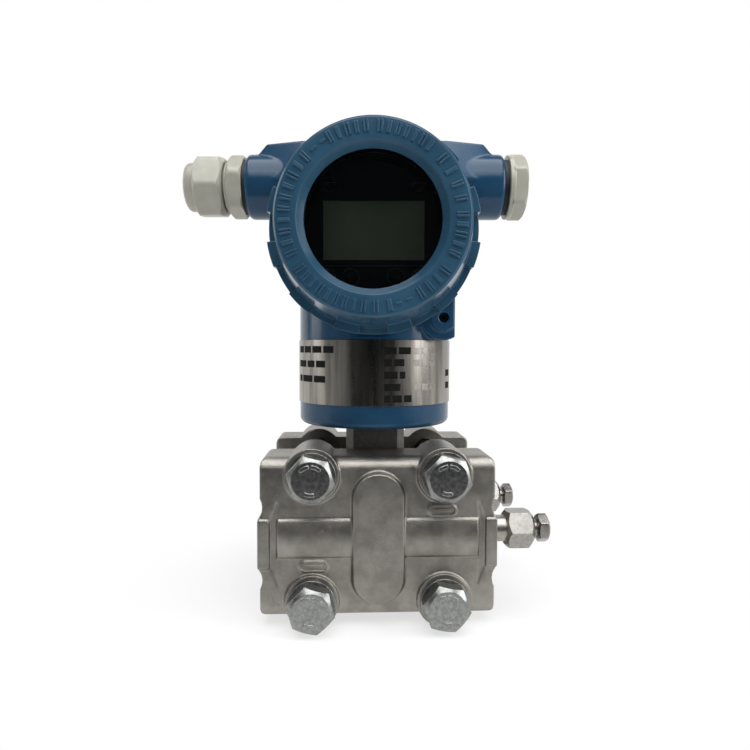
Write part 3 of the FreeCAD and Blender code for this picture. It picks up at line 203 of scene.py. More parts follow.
class Graph:
    """The node tree of one material, or of the world."""

    def __init__(self, name: str, world: bool = False) -> None:
        """Starts an empty material, or world, of that name."""
        self.owner = (bpy.data.worlds if world else bpy.data.materials).new(name)
        self.owner.use_nodes = True
        self.tree = self.owner.node_tree
        self.tree.nodes.clear()
        self.place = self.node("ShaderNodeTexCoord").outputs["Object"]

    def node(self, kind: str, inputs: Optional[Inputs] = None, **settings: Any) -> bpy.types.Node:
        """Adds any node.

        Args:
            kind: the node's type name.
            inputs: the values or links of its sockets, by name or number.
            settings: its properties, which are set first.

        Returns:
            The new node.
        """
        node = self.tree.nodes.new(kind)
        for key, setting in settings.items():
            setattr(node, key, setting)
        for key, source in (inputs or {}).items():
            socket = node.inputs[key]
            if isinstance(source, Value):
                source = source.socket
            if isinstance(source, bpy.types.NodeSocket):
                self.tree.links.new(source, socket)
            elif isinstance(source, tuple) and len(source) == 3 and socket.type == "RGBA":
                socket.default_value = (*source, 1.0)
            else:
                socket.default_value = source
        return node

    def number(self, kind: str, inputs: Inputs, output: Union[int, str] = 0, **settings: Any) -> Value:
        """Adds a node and returns one of its outputs as a number."""
        return Value(self, self.node(kind, inputs, **settings).outputs[output])

    def stretched(self, scale: Triple) -> bpy.types.NodeSocket:
        """The place on the object, scaled along each axis."""
        return self.node("ShaderNodeVectorMath", {0: self.place, 1: scale}, operation="MULTIPLY").outputs[0]

    def noise(self, size: float, detail: float, roughness: float = 0.5,
              vector: Optional[bpy.types.NodeSocket] = None) -> Value:
        """Noise from 0 to 1 whose features are about that size in millimetres."""
        inputs = {"Vector": vector or self.place, "Scale": 1 / (size * MM), "Detail": detail,
                  "Roughness": roughness}
        return self.number("ShaderNodeTexNoise", inputs, "Fac", noise_dimensions="3D")

    def specks(self, size: float, amount: float) -> Value:
        """Small round specks of about that size, 1 inside them."""
        distance = self.number("ShaderNodeTexVoronoi", {"Vector": self.place, "Scale": 1 / (size * MM)},
                               "Distance", feature="F1")
        return 1 - distance.spread(amount * 0.6, amount)

    def blend(self, factor: Number, first: Any, second: Any) -> bpy.types.NodeSocket:
        """Mixes two colours by a number."""
        return self.node("ShaderNodeMix", {0: factor, 6: first, 7: second}, data_type="RGBA").outputs[2]

    def edge(self, radius: float, samples: int = 4) -> Tuple[bpy.types.NodeSocket, Value]:
        """Rounds sharp edges in the shading.

        Args:
            radius: the rounding in millimetres.
            samples: how many rays it takes.

        Returns:
            The rounded normal, and a number that rises from 0 to 1 at the edges.
        """
        bevel = self.node("ShaderNodeBevel", {"Radius": radius * MM}, samples=samples)
        true = self.node("ShaderNodeNewGeometry").outputs["Normal"]
        dot = self.number("ShaderNodeVectorMath", {0: bevel.outputs[0], 1: true}, "Value",
                          operation="DOT_PRODUCT")
        return bevel.outputs[0], (1 - dot).spread(0.01, 0.3)

    def bump(self, height: Value, depth: float,
             normal: Optional[bpy.types.NodeSocket] = None) -> bpy.types.NodeSocket:
        """A normal raised by a height from 0 to 1, over a depth in millimetres."""
        inputs: Inputs = {"Height": height, "Distance": depth * MM, "Strength": 1.0}
        if normal is not None:
            inputs["Normal"] = normal
        return self.node("ShaderNodeBump", inputs).outputs["Normal"]

    def surface(self, inputs: Inputs) -> bpy.types.Material:
        """Ends the tree in a Principled shader with these inputs."""
        shader = self.node("ShaderNodeBsdfPrincipled", inputs)
        return self.ended(shader.outputs[0])

    def ended(self, socket: bpy.types.NodeSocket) -> bpy.types.Material:
        """Ends the tree in any shader."""
        self.node("ShaderNodeOutputMaterial", {"Surface": socket})
        return self.owner

    def shaders(self, factor: Any, first: bpy.types.Node, second: bpy.types.Node) -> bpy.types.NodeSocket:
        """Mixes two shaders by a number."""
        return self.node("ShaderNodeMixShader", {0: factor, 1: first.outputs[0],
                                                     2: second.outputs[0]}).outputs[0]


@dataclass(frozen=True)
class PowderPaint:
    """Semi-gloss paint over a casting, with a faint orange peel, and paler edges that stand for thinner paint there
    and for a painted highlight along them.
    """

    name: str
    deep: Colour
    pale: Colour
    # The pale blue laid along the edges: worn paint and a painted highlight.
    rubbed_and_highlight: Colour = (0.08, 0.17, 0.26)
    roughness: float = 0.2
    specular: float = 0.3
    peel: float = 1.6
    peel_depth: float = 0.006
    edge_radius: float = 0.4

    def build(self) -> bpy.types.Material:
        """Returns the material."""
        graph = Graph(self.name)
        rounded, edges = graph.edge(self.edge_radius, 6)
        cloud = graph.noise(22, 3)
        dust = graph.noise(2.4, 4, 0.65)
        # Paler colour at the edges, patchy by the dust noise: part worn paint, part painted highlight.
        worn_and_highlight = (edges * (0.2 + dust * 0.5)).at_most(0.4)
        tone = graph.blend(cloud.spread(0.35, 0.65), self.deep, self.pale)
        colour = graph.blend(worn_and_highlight, tone, self.rubbed_and_highlight)
        rough = self.roughness + (dust - 0.5) * 0.08 + worn_and_highlight * 0.1
        height = graph.noise(self.peel, 1) * 0.85 + graph.noise(0.5, 2) * 0.15
        return graph.surface({"Base Color": colour, "Roughness": rough, "Specular IOR Level": self.specular,
                              "Normal": graph.bump(height, self.peel_depth, rounded)})


@dataclass(frozen=True)
class CastSteel:
    """Blasted investment casting: a satin grain, small pits, and a painted highlight along its edges."""

    name: str = "cast_stainless"
    dark: Colour = (0.23, 0.217, 0.196)
    light: Colour = (0.35, 0.331, 0.3)
    # Near-white colour laid along the edges: a painted highlight.
    edge_highlight: Colour = (0.86, 0.83, 0.77)
    roughness: float = 0.42
    grain: float = 0.42
    grain_depth: float = 0.11
    edge_radius: float = 0.35

    def build(self) -> bpy.types.Material:
        """Returns the material."""
        graph = Graph(self.name)
        rounded, edges = graph.edge(self.edge_radius)
        cloud = graph.noise(9, 4, 0.6)
        grain = graph.noise(self.grain, 3, 0.7)
        pits = graph.specks(2.1, 0.2) * graph.noise(6, 2).spread(0.45, 0.6)
        tone = graph.blend(cloud.spread(0.3, 0.7), self.dark, self.light)
        # Paler colour along the edges, broken up by the grain: a painted highlight.
        colour = graph.blend((edges * (0.3 + grain * 0.7)).at_most(0.75), tone, self.edge_highlight)
        rough = self.roughness + (cloud - 0.5) * 0.22 - edges * 0.1
        height = grain * 0.65 + graph.noise(1.3, 3, 0.6) * 0.35 - pits * 0.5
        return graph.surface({"Base Color": colour, "Roughness": rough, "Metallic": 1.0,
                              "Normal": graph.bump(height, self.grain_depth, rounded)})


@dataclass(frozen=True)
class WorkedSteel:
    """Turned, milled or plated steel with fine tool lines, a mottled tone, small nicks and a painted highlight along
    its edges; where the mottle is stretched into stripes it is a painted reflection.
    """

    name: str
    dark: Colour
    light: Colour
    roughness: float
    line: Triple = (1.0, 1.0, 1.0)
    line_size: float = 0.25
    line_depth: float = 0.006
    mottle: float = 4.0
    scratches: float = 0.3
    edge_radius: float = 0.3
    # Stretches the mottle; the band's upright stripes made this way are painted reflections.
    reflection_stretch: Triple = (1.0, 1.0, 1.0)

    def build(self) -> bpy.types.Material:
        """Returns the material."""
        graph = Graph(self.name)
        rounded, edges = graph.edge(self.edge_radius)
        # Mottled tone; where stretched into stripes, it is painted reflection.
        mottle = graph.noise(self.mottle, 4, 0.65, graph.stretched(self.reflection_stretch))
        lines = graph.noise(self.line_size, 2, 0.6, graph.stretched(self.line))
        nicks = graph.noise(1.1, 5, 0.8).spread(0.58, 0.75) * self.scratches
        tone = graph.blend(mottle.spread(0.3, 0.7), self.dark, self.light)
        # Pale grey along the edges is a painted highlight; the nicks mixed in are real scratches.
        colour = graph.blend((edges * 0.6 + nicks * 0.4).at_most(0.8), tone, (0.8, 0.78, 0.75))
        rough = self.roughness + (mottle - 0.5) * 0.2 + (lines - 0.5) * 0.08
        height = lines * 0.7 + nicks * 0.3
        return graph.surface({"Base Color": colour, "Roughness": rough, "Metallic": 1.0,
                              "Normal": graph.bump(height, self.line_depth, rounded)})


@dataclass(frozen=True)
class Moulding:
    """Moulded plastic or rubber with a faint spark-eroded grain."""

    name: str
    colour: Colour
    shade: Colour
    roughness: float
    grain: float = 0.4
    grain_depth: float = 0.006
    scatter: float = 0.0
    edge_radius: float = 0.25
    specular: float = 0.5

    def build(self) -> bpy.types.Material:
        """Returns the material."""
        graph = Graph(self.name)
        rounded, edges = graph.edge(self.edge_radius)
        cloud = graph.noise(7, 3)
        grain = graph.noise(self.grain, 3, 0.6)
        colour = graph.blend(cloud.spread(0.3, 0.7), self.shade, self.colour)
        rough = self.roughness + (grain - 0.5) * 0.1 + (cloud - 0.5) * 0.1 - edges * 0.05
        return graph.surface({"Base Color": colour, "Roughness": rough, "Specular IOR Level": self.specular,
                              "Subsurface Weight": self.scatter, "Subsurface Scale": 0.0015,
                              "Normal": graph.bump(grain, self.grain_depth, rounded)})


@dataclass(frozen=True)
class BoardLacquer:
    """A green circuit board with faint tracks under its lacquer."""

    name: str = "board_lacquer"
    lacquer: Colour = (0.012, 0.09, 0.035)
    track: Colour = (0.03, 0.17, 0.06)
    pad: Colour = (0.62, 0.6, 0.52)

    def build(self) -> bpy.types.Material:
        """Returns the material."""
        graph = Graph(self.name)
        tracks = graph.noise(1.6, 0, 0.0, graph.stretched((1.0, 1.0, 0.35))).spread(0.5, 0.52)
        pads = graph.specks(2.5, 0.2)
        colour = graph.blend(pads, graph.blend(tracks, self.lacquer, self.track), self.pad)
        return graph.surface({"Base Color": colour, "Roughness": 0.35 - pads * 0.1, "Metallic": pads * 0.8,
                              "Normal": graph.bump(tracks * 0.5 + pads * 0.5, 0.02)})


@dataclass(frozen=True)
class UnlitPanel:
    """An unlit liquid crystal panel: dark olive under a glossy film."""

    name: str = "unlit_panel"
    olive: Colour = (0.21, 0.18, 0.115)
    green: Colour = (0.16, 0.155, 0.09)

    def build(self) -> bpy.types.Material:
        """Returns the material."""
        graph = Graph(self.name)
        cloud = graph.noise(30, 1)
        cells = graph.noise(0.5, 0, 0.0)
        colour = graph.blend(cloud.spread(0.3, 0.7), self.green, self.olive)
        return graph.surface({"Base Color": colour, "Roughness": 0.22 + cells * 0.05, "Coat Weight": 0.4,
                              "Coat Roughness": 0.05, "Normal": graph.bump(cells, 0.001)})


@dataclass(frozen=True)
class WindowGlass:
    """Clear thick glass: mostly see-through, with reflections that rise at a slant."""

    name: str = "window_glass"
    tint: Colour = (0.72, 0.78, 0.79)

    def build(self) -> bpy.types.Material:
        """Returns the material."""
        graph = Graph(self.name)
        smears = graph.noise(12, 4, 0.7).spread(0.45, 0.8)
        clear = graph.node("ShaderNodeBsdfTransparent", {"Color": self.tint})
        gloss = graph.node("ShaderNodeBsdfGlossy", {"Color": (1.0, 1.0, 1.0), "Roughness": 0.02})
        rise = graph.number("ShaderNodeFresnel", {"IOR": 1.5})
        share = (rise + smears * 0.012).at_most(0.9)
        return graph.ended(graph.shaders(share, clear, gloss))


class Finishes:
    """All the materials, made once."""

    def __init__(self) -> None:
        """Builds each material."""
        # One blue paint in two copies: the housing's is darker than the covers', painted shade on the housing.
        self.paint = PowderPaint("blue_powder_paint", (0.008, 0.038, 0.082), (0.012, 0.051, 0.103)).build()
        self.cover_paint = PowderPaint("blue_cover_paint", (0.017, 0.054, 0.094), (0.022, 0.065, 0.11)).build()
        self.cast = CastSteel().build()
        self.turned = WorkedSteel("turned_stainless", (0.46, 0.44, 0.41), (0.6, 0.575, 0.54), 0.26,
                                  (1.0, 0.05, 0.05), 0.12, 0.004).build()
        self.bolt = WorkedSteel("plated_bolt_steel", (0.2, 0.205, 0.198), (0.33, 0.336, 0.324), 0.34,
                                (1.0, 1.0, 1.0), 0.5, 0.03, 1.4, 0.35, 0.35).build()
        self.vent = WorkedSteel("milled_stainless", (0.28, 0.267, 0.246), (0.4, 0.384, 0.36), 0.34,
                                (1.0, 0.3, 0.3), 0.4, 0.02, 1.5, 0.3, 0.25).build()
        self.bleed = WorkedSteel("bleed_stainless", (0.25, 0.238, 0.22), (0.38, 0.365, 0.34), 0.28).build()
        # A darker, duller steel for the cell's neck: painted shade.
        self.neck = WorkedSteel("shaded_stainless", (0.2, 0.187, 0.172), (0.28, 0.264, 0.245), 0.66,
                                (1.0, 1.0, 1.0), 0.5, 0.03, 2.0, 0.2, 0.3).build()
        # The band's dark and light tones, stretched into upright stripes, are painted reflections.
        self.band = WorkedSteel("polished_band", (0.17, 0.159, 0.143), (0.36, 0.337, 0.304), 0.3,
                                (0.04, 0.04, 1.0), 0.16, 0.002, 5.0, 0.1, 0.1, (1.0, 1.0, 0.06)).build()
        self.pale_etch = WorkedSteel("pale_etching", (0.19, 0.18, 0.163), (0.31, 0.295, 0.27), 0.4).build()
        # Black steel: real on the cover lock screws, painted shade on the display screws.
        self.blackened_and_shade = WorkedSteel("blackened_steel_and_shade", (0.03, 0.03, 0.032), (0.07, 0.07, 0.072), 0.36).build()
        self.screw = WorkedSteel("screw_steel", (0.35, 0.35, 0.34), (0.5, 0.5, 0.48), 0.32).build()
        self.brass = WorkedSteel("turned_brass", (0.55, 0.4, 0.16), (0.68, 0.52, 0.24), 0.3).build()
        self.black = Moulding("black_moulding", (0.012, 0.012, 0.014), (0.007, 0.007, 0.008), 0.42).build()
        self.retainer = WorkedSteel("black_anodised", (0.02, 0.02, 0.023), (0.035, 0.035, 0.04), 0.38).build()
        self.rubber = Moulding("black_rubber", (0.014, 0.014, 0.015), (0.008, 0.008, 0.009), 0.62,
                               0.5, 0.015).build()
        self.key = Moulding("key_rubber", (0.02, 0.021, 0.023), (0.012, 0.012, 0.014), 0.38).build()
        self.nylon = Moulding("grey_nylon", (0.35, 0.341, 0.287), (0.31, 0.301, 0.254), 0.32, 0.5, 0.008,
                              0.08, 0.4).build()
        self.white = Moulding("white_seal", (0.7, 0.7, 0.68), (0.6, 0.6, 0.58), 0.5).build()
        self.ink = Moulding("etched_ink", (0.006, 0.006, 0.006), (0.009, 0.009, 0.009), 0.75, specular=0.1).build()
        # Much darker than the black mouldings: the display frame and keys in painted shade inside the window.
        self.display = Moulding("display_black", (0.0018, 0.0024, 0.0034), (0.0014, 0.0018, 0.0026), 0.5,
                                specular=0.1).build()
        self.board = BoardLacquer().build()
        self.panel = UnlitPanel().build()
        self.glass = WindowGlass().build()


class Form:
    """A closed mesh in millimetres, put together from rings of points."""

    def __init__(self) -> None:
        """Starts with no points."""
        self.points: List[Vector] = []
        self.faces: List[List[int]] = []

    def ring(self, points: Sequence[Vector]) -> List[int]:
        """Adds points and returns their numbers."""
        first = len(self.points)
        self.points += [Vector(point) for point in points]
        return list(range(first, len(self.points)))

    def bridge(self, lower: List[int], upper: List[int]) -> None:
        """Joins two rings of equal length, or a ring and a single point."""
        count = max(len(lower), len(upper))
        for index in range(count):
            after = (index + 1) % count
            quad = [lower[index % len(lower)], lower[after % len(lower)],
                    upper[after % len(upper)], upper[index % len(upper)]]
            self.faces.append(list(dict.fromkeys(quad)))

    def loft(self, rings: Sequence[List[int]], closed: bool = False, capped: bool = False) -> "Form":
        """Joins a row of rings, from the last to the first too where closed, with filled ends where capped."""
        rings = list(rings)
        for lower, upper in zip(rings, rings[1:] + (rings[:1] if closed else [])):
            self.bridge(lower, upper)
        if capped:
            self.faces += [rings[0][::-1], rings[-1]]
        return self

    def lathe(self, profile: Sequence[Corner], segments: int, closed: bool = False) -> "Form":
        """Turns an outline of (radius, height, rounding) corners about the Z axis."""
        rings = []
        for radius, height in soften(profile, closed):
            if radius < 1e-4:
                rings.append(self.ring([Vector((0, 0, height))]))
            else:
                rings.append(self.ring([polar(radius, 360 * k / segments, height) for k in range(segments)]))
        return self.loft(rings, closed)

    def bar(self, outline: Sequence[Pair], low: float, high: float,
            chamfers: Pair, slope: float = 30.0, bore: float = 0.0) -> "Form":
        """Raises an outline into a bar whose ends are turned off to a cone.

        Args:
            outline: its points round the Z axis.
            low, high: its two ends.
            chamfers: the radius of the flat circle left on each end, or 0 for a plain end.
            slope: the cones' angle in degrees.
            bore: the radius of a hole through it, or 0.

        Returns:
            This form.
        """
        slant = math.tan(math.radians(slope))

        def level(radius: float, height: float, sign: float) -> List[Vector]:
            """The outline where the cone from that circle meets its walls."""
            found = []
            for x, y in outline:
                over = max(math.hypot(x, y) - radius, 0.0) if radius else 0.0
                found.append(Vector((x, y, height - sign * over * slant)))
            return found

        def end(radius: float, height: float) -> List[Vector]:
            """The outline pulled in to the flat circle."""
            shrink = [min(radius / math.hypot(x, y), 1.0) if radius else 1.0 for x, y in outline]
            return [Vector((x * k, y * k, height)) for (x, y), k in zip(outline, shrink)]

        def hole(height: float) -> List[Vector]:
            """The bore's edge, or its middle point."""
            if not bore:
                return [Vector((0, 0, height))]
            return [Vector((x, y, 0)).normalized() * bore + Vector((0, 0, height)) for x, y in outline]

        levels = [hole(low), end(chamfers[0], low), level(chamfers[0], low, -1), level(chamfers[1], high, 1),
                  end(chamfers[1], high), hole(high)]
        return self.loft([self.ring(points) for points in levels], bool(bore))

    def arc_block(self, radii: Pair, angles: Pair,
                  heights: Pair, pieces: int) -> "Form":
        """A block between two radii, two angles in degrees and two heights."""
        rings = []
        for step in range(pieces + 1):
            angle = angles[0] + (angles[1] - angles[0]) * step / pieces
            rings.append(self.ring([polar(radii[i], angle, heights[j]) for i, j in
                                    ((0, 0), (1, 0), (1, 1), (0, 1))]))
        return self.loft(rings, capped=True)

    def box(self, xs: Pair, ys: Pair, heights: Pair) -> "Form":
        """Adds a box between two values on each axis."""
        outline = ((xs[0], ys[0]), (xs[1], ys[0]), (xs[1], ys[1]), (xs[0], ys[1]))
        return self.loft([self.ring([Vector((x, y, height)) for x, y in outline]) for height in heights],
                         capped=True)

    def thread(self, radius: float, pitch: float, low: float, high: float, depth: float) -> "Form":
        """A screw thread's ridge round a plain rod, from one height to another."""
        turns = (high - low) / pitch
        flank = pitch * THREAD_FLANK
        count = max(int(turns * THREAD_STEPS), 8)
        rings = []
        for step in range(count + 1):
            part = step / count
            grow = min(part * turns * THREAD_FADE, (1 - part) * turns * THREAD_FADE, 1.0)
            height = low + (high - low) * part
            angle = 360 * turns * part
            rings.append(self.ring([polar(radius - THREAD_SINK, angle, height - flank),
                                    polar(radius + depth * grow, angle, height),
                                    polar(radius - THREAD_SINK, angle, height + flank)]))
        return self.loft(rings, capped=True)

    def build(self, name: str, place: Matrix, finish: bpy.types.Material, body: str, slot: str,
              bevel: float = 0.0) -> bpy.types.Object:
        """Makes the object in the row frame and lets it ride on its body.

        Args:
            name: the piece's name.
            place: the matrix from its own millimetres to the row frame.
            finish: its material.
            body: the CAD body that it rides on.
            slot: the record's material slot; not used.
            bevel: the width in millimetres that its sharp edges are bevelled by.

        Returns:
            The new object.
        """
        mesh = bpy.data.meshes.new(name)
        mesh.from_pydata([place @ point for point in self.points], [], self.faces)
        work = bmesh.new()
        work.from_mesh(mesh)
        bmesh.ops.remove_doubles(work, verts=work.verts, dist=WELD_GAP)
        bmesh.ops.recalc_face_normals(work, faces=work.faces)
        work.to_mesh(mesh)
        work.free()
        return placed(name, mesh, finish, body, bevel)


def linked(name: str, data: bpy.types.ID) -> bpy.types.Object:
    """Puts a mesh, a lamp or a camera into the scene."""
    thing = bpy.data.objects.new(name, data)
    bpy.context.scene.collection.objects.link(thing)
    return thing


def placed(name: str, mesh: bpy.types.Mesh, finish: bpy.types.Material, body: str,
           bevel: float = 0.0, smooth: float = SHARP_ANGLE) -> bpy.types.Object:
    """Links a mesh as a piece, with Form.build's arguments and the angle in degrees of its sharp edges."""
    mesh.materials.clear()
    mesh.materials.append(finish)
    mesh.shade_smooth()
    mesh.set_sharp_from_angle(angle=math.radians(smooth))
    piece = linked(name, mesh)
    if bevel:
        cut = piece.modifiers.new("edges", "BEVEL")
        cut.width = bevel * MM
        cut.segments = 2
        cut.limit_method = "ANGLE"
        cut.angle_limit = math.radians(smooth)
        cut.harden_normals = True
    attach(piece, body)
    log.info("piece %s: %d faces on %s", name, len(mesh.polygons), body)
    return piece


def dress(finish: bpy.types.Material, *nodes: str) -> None:
    """Gives CAD nodes their finish."""
    for node in nodes:
        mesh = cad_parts[node].data
        mesh.materials.clear()
        mesh.materials.append(finish)
        log.info("node %s dressed in %s", node, finish.name)


def cast_copy(name: str, node: str, voxel: float, passes: int, keep: float, finish: bpy.types.Material,
              body: str, pads: Sequence[Tuple[Vector, Vector]] = ()) -> bpy.types.Object:
    """Makes a casting from a CAD node, with every edge and hollow rolled over as poured metal has them.

    Args:
        name: the new piece's name.
        node: the CAD node that it stands for.
        voxel: the mesh size in millimetres.
        passes: how often the surface is evened out.
        keep: the share of the faces that stay.
        finish, body: as in Form.build.
        pads: the low and high corners, in millimetres of the row frame, of blocks cast on to it.

    Returns:
        The new piece.
    """
    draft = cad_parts[node].data.copy()
    work = bmesh.new()
    work.from_mesh(draft)
    for low, high in pads:
        size = (high - low) * MM
        bmesh.ops.create_cube(work, size=1.0, matrix=Matrix.Translation((low + high) / 2 * MM)
                              @ Matrix.Diagonal((size.x, size.y, size.z, 1.0)))
    work.to_mesh(draft)
    work.free()
    rough = linked(name + "_draft", draft)
    joined = rough.modifiers.new("join", "WELD")
    joined.merge_threshold = 1e-5
    skin = rough.modifiers.new("skin", "REMESH")
    skin.mode = "VOXEL"
    skin.voxel_size = voxel * MM
    even = rough.modifiers.new("even", "SMOOTH")
    even.factor = 0.5
    even.iterations = passes
    thin = rough.modifiers.new("thin", "DECIMATE")
    thin.ratio = keep
    mesh = bpy.data.meshes.new_from_object(rough.evaluated_get(bpy.context.evaluated_depsgraph_get()))
    bpy.data.objects.remove(rough)
    mesh.name = name
    piece = placed(name, mesh, finish, body, smooth=CAST_SHARP_ANGLE)
    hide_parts(node)
    return piece


@dataclass
class Cover:
    """A screwed cover: drafted skirt, face, collar, lugs and spigot, with a window or without."""

    finishes: Finishes
    body: str
    node: str
    heading: Heading
    depth: float
    windowed: bool
    seat_y: float = 31.3
    face_radius: float = 34.1
    skirt_radius: float = 36.9
    collar_radius: float = 39.3
    collar_width: float = 4.0
    lug_radius: float = 39.6
    lug_length: float = 9.0
    lug_angle: float = 14.0
    lug_count: int = 12
    lug_sink: float = 1.5
    spigot_radius: float = 33.2
    spigot_length: float = 12.0
    oring_gap: float = 0.6
    oring_depth: float = 1.75
    oring_width: float = 2.0
    thread_pitch: float = 2.0
    thread_rise: float = 0.22
    thread_margins: Pair = (1.2, 3.4)
    cavity_radius: float = 28.8
    window_radius: float = 23.9
    bevel_radius: float = 26.2
    bevel_depth: float = 3.3
    lip_depth: float = 4.5
    pocket_radius: float = 27.2
    pocket_depth: float = 11.3
    wall: float = 5.0
    edge: float = 0.8
    grip_radii: Pair = (28.2, 32.4)
    grip_heights: Pair = (-0.2, 0.55)
    bar_width: float = 0.78
    bar_gaps: Tuple[float, ...] = (1.0, 0.7, 1.25, 0.85, 1.1)
    bar_groups: Tuple[Tuple[float, float, int], ...] = (
        (85.6, 51.0, 7), (118.9, 94.7, 5), (139.0, 204.0, 10), (215.0, 264.0, 9), (272.0, 281.0, 2),
        (302.5, 324.0, 4), (336.0, 361.5, 5), (11.7, 39.3, 4))
    dash_half: float = 0.45
    dashes: Tuple[Pair, ...] = ((122.0, 126.5), (129.5, 134.0), (285.0, 289.0), (292.0, 296.0))

    @property
    def place(self) -> Matrix:
        """The face's frame, its Z axis pointing out of the face."""
        reach = self.seat_y + self.depth
        side = -1 if self.heading is Heading.FRONT else 1
        return seat(self.heading, 0, side * reach, COVER_AXIS, True)

    def shell(self) -> None:
        """Turns the cover's body and adds its lugs."""
        rim = -self.depth
        collar_end = rim + self.collar_width
        groove = rim - self.oring_gap
        groove_end = groove - self.oring_width
        groove_floor = self.spigot_radius - self.oring_depth
        outside = [(self.face_radius - self.edge, 0, 0.3), (self.face_radius, -self.edge, 0.5),
                   (self.skirt_radius, collar_end, 0.25), (self.collar_radius, collar_end, 0.3),
                   (self.collar_radius, rim, 0.3), (self.spigot_radius, rim), (self.spigot_radius, groove),
                   (groove_floor, groove), (groove_floor, groove_end), (self.spigot_radius, groove_end),
                   (self.spigot_radius, rim - self.spigot_length, 0.6),
                   (self.cavity_radius, rim - self.spigot_length)]
        if self.windowed:
            inside = [(self.cavity_radius, -self.pocket_depth), (self.pocket_radius, -self.pocket_depth),
                      (self.pocket_radius, -self.lip_depth), (self.window_radius, -self.lip_depth),
                      (self.window_radius, -self.bevel_depth, 0.5), (self.bevel_radius, 0, 0.5)]
            form = Form().lathe(outside + inside, 160, True)
        else:
            inside = [(self.cavity_radius, -self.wall, 1.5), (0, -self.wall)]
            form = Form().lathe([(0, 0)] + outside + inside, 160)
        for index in range(self.lug_count):
            middle = (index + 0.5) * 360 / self.lug_count
            half = self.lug_angle / 2
            form.arc_block((self.skirt_radius - self.lug_sink, self.lug_radius), (middle - half, middle + half),
                           (rim, rim + self.lug_length), 5)
        piece = form.build(self.node + "_shell", self.place, self.finishes.cover_paint, self.body, "blue_paint", 0.35)
        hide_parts(self.node)

    def grip_ring(self) -> None:
        """Raises the ring of plain bars and dashes on the face."""
        form = Form()
        inner, outer = self.grip_radii
        middle = (inner + outer) / 2
        for start, end, count in self.bar_groups:
            for index in range(count):
                angle = start + (end - start) * index / (count - 1)
                gap = math.degrees(self.bar_gaps[(index + count) % len(self.bar_gaps)] / middle)
                half = math.degrees(self.bar_width / middle) / 2
                for side in (-gap, gap):
                    form.arc_block((inner, outer), (angle + side / 2 - half, angle + side / 2 + half),
                                   self.grip_heights, 1)
        for start, end in self.dashes:
            form.arc_block((middle - self.dash_half, middle + self.dash_half), (start, end),
                           self.grip_heights, 3)
        form.build("cover_grip_ring", self.place, self.finishes.cover_paint, self.body, "blue_paint", 0.1)

    def spigot_thread(self) -> None:
        """Winds the thread round the spigot."""
        inner, outer = self.thread_margins
        form = Form().thread(self.spigot_radius, self.thread_pitch, -self.depth - self.spigot_length + inner,
                             -self.depth - outer, self.thread_rise)
        form.build(self.node + "_thread", self.place, self.finishes.cover_paint, self.body, "blue_paint")

    def build(self) -> None:
        """Builds the cover and what is fixed in it."""
        self.shell()
        self.spigot_thread()
        if self.windowed:
            self.grip_ring()
            dress(self.finishes.glass, "front_cover_glass")
            dress(self.finishes.rubber, "glass_gasket")
            dress(self.finishes.retainer, "glass_retainer")


@dataclass
class HousingCasting:
    """The painted casting with its outside fittings and seals."""

    finishes: Finishes

    def build(self) -> None:
        """Builds the casting and dresses its small hardware."""
        kit = self.finishes
        cast_copy("housing_casting", "housing", 0.5, 3, 0.25, kit.paint, "housing")
        dress(kit.screw, "nameplate_rivets", "rotation_lock_screw", "earth_clamp", "earth_screw")
        dress(kit.blackened_and_shade, "cover_lock_screws")
        dress(kit.rubber, "front_cover_oring", "rear_cover_oring", "neck_oring")


@dataclass
class NameBand:
    """The strip round the hub with its rows of plain marks."""

    finishes: Finishes
    radius: float = 32.42
    bottom: float = 49.2
    height: float = 25.6
    block_height: float = 2.7
    blocks: Tuple[Tuple[float, Tuple[Pair, ...]], ...] = (
        (20.5, ((-41.2, -35.6), (-34.6, -29.0), (-28.0, -22.4), (-21.4, -16.3))),
        (14.7, ((-41.2, -33.0), (-31.8, -26.6), (-25.6, -20.4))),
        (8.7, ((-41.2, -37.4), (-36.4, -28.0), (-27.0, -20.4))),
        (20.1, ((4.2, 9.0), (9.9, 15.0))),
        (15.5, ((4.2, 7.2), (8.1, 12.2))),
        (10.7, ((4.2, 9.4), (10.3, 12.6))),
        (6.0, ((4.2, 10.6),)),
        (1.5, ((4.2, 6.6), (7.5, 11.2), (12.1, 15.4))),
        (11.0, ((37.0, 42.0),)),
        (5.9, ((37.0, 42.0),)))
    thin_blocks: Tuple[Triple, ...] = (
        (20.1, 16.3, 28.1), (15.5, 16.3, 28.1), (6.0, 16.3, 28.1))
    thin_height: float = 2.5
    thin_count: int = 3
    thin_gap: float = 0.9
    divider: Pair = (0.4, 0.95)
    divider_margins: Pair = (1.1, 1.2)
    sink: float = 0.05
    rise: float = 0.03
    facet: float = 1.2

    def marks(self) -> None:
        """Lays the rows of plain blocks on both sides of the divider."""
        form = Form()
        turn = 360 / (2 * math.pi * self.radius)
        radii = (self.radius - self.sink, self.radius + self.rise)

        def block(form: Form, start: float, end: float, low: float, high: float) -> None:
            """Adds one block between two places round the band and two heights above its lower edge."""
            form.arc_block(radii, (-90 + start * turn, -90 + end * turn),
                           (self.bottom + low, self.bottom + high), max(int((end - start) / self.facet), 1))

        for low, spans in self.blocks:
            for start, end in spans:
                block(form, start, end, low, low + self.block_height)
        block(form, *self.divider, self.divider_margins[0], self.height - self.divider_margins[1])
        form.build("name_band_marks", upright(), self.finishes.ink, "housing", "name_band_steel")
        etched = Form()
        for low, start, end in self.thin_blocks:
            for index in range(self.thin_count):
                first = start + (end - start) * index / self.thin_count
                last = first + (end - start) / self.thin_count - self.thin_gap
                block(etched, first, last, low, low + self.thin_height)
        etched.build("name_band_etching", upright(), self.finishes.pale_etch, "housing", "name_band_steel")

    def build(self) -> None:
        """Dresses the band and adds its marks."""
        dress(self.finishes.band, "nameplate_band")
        self.marks()


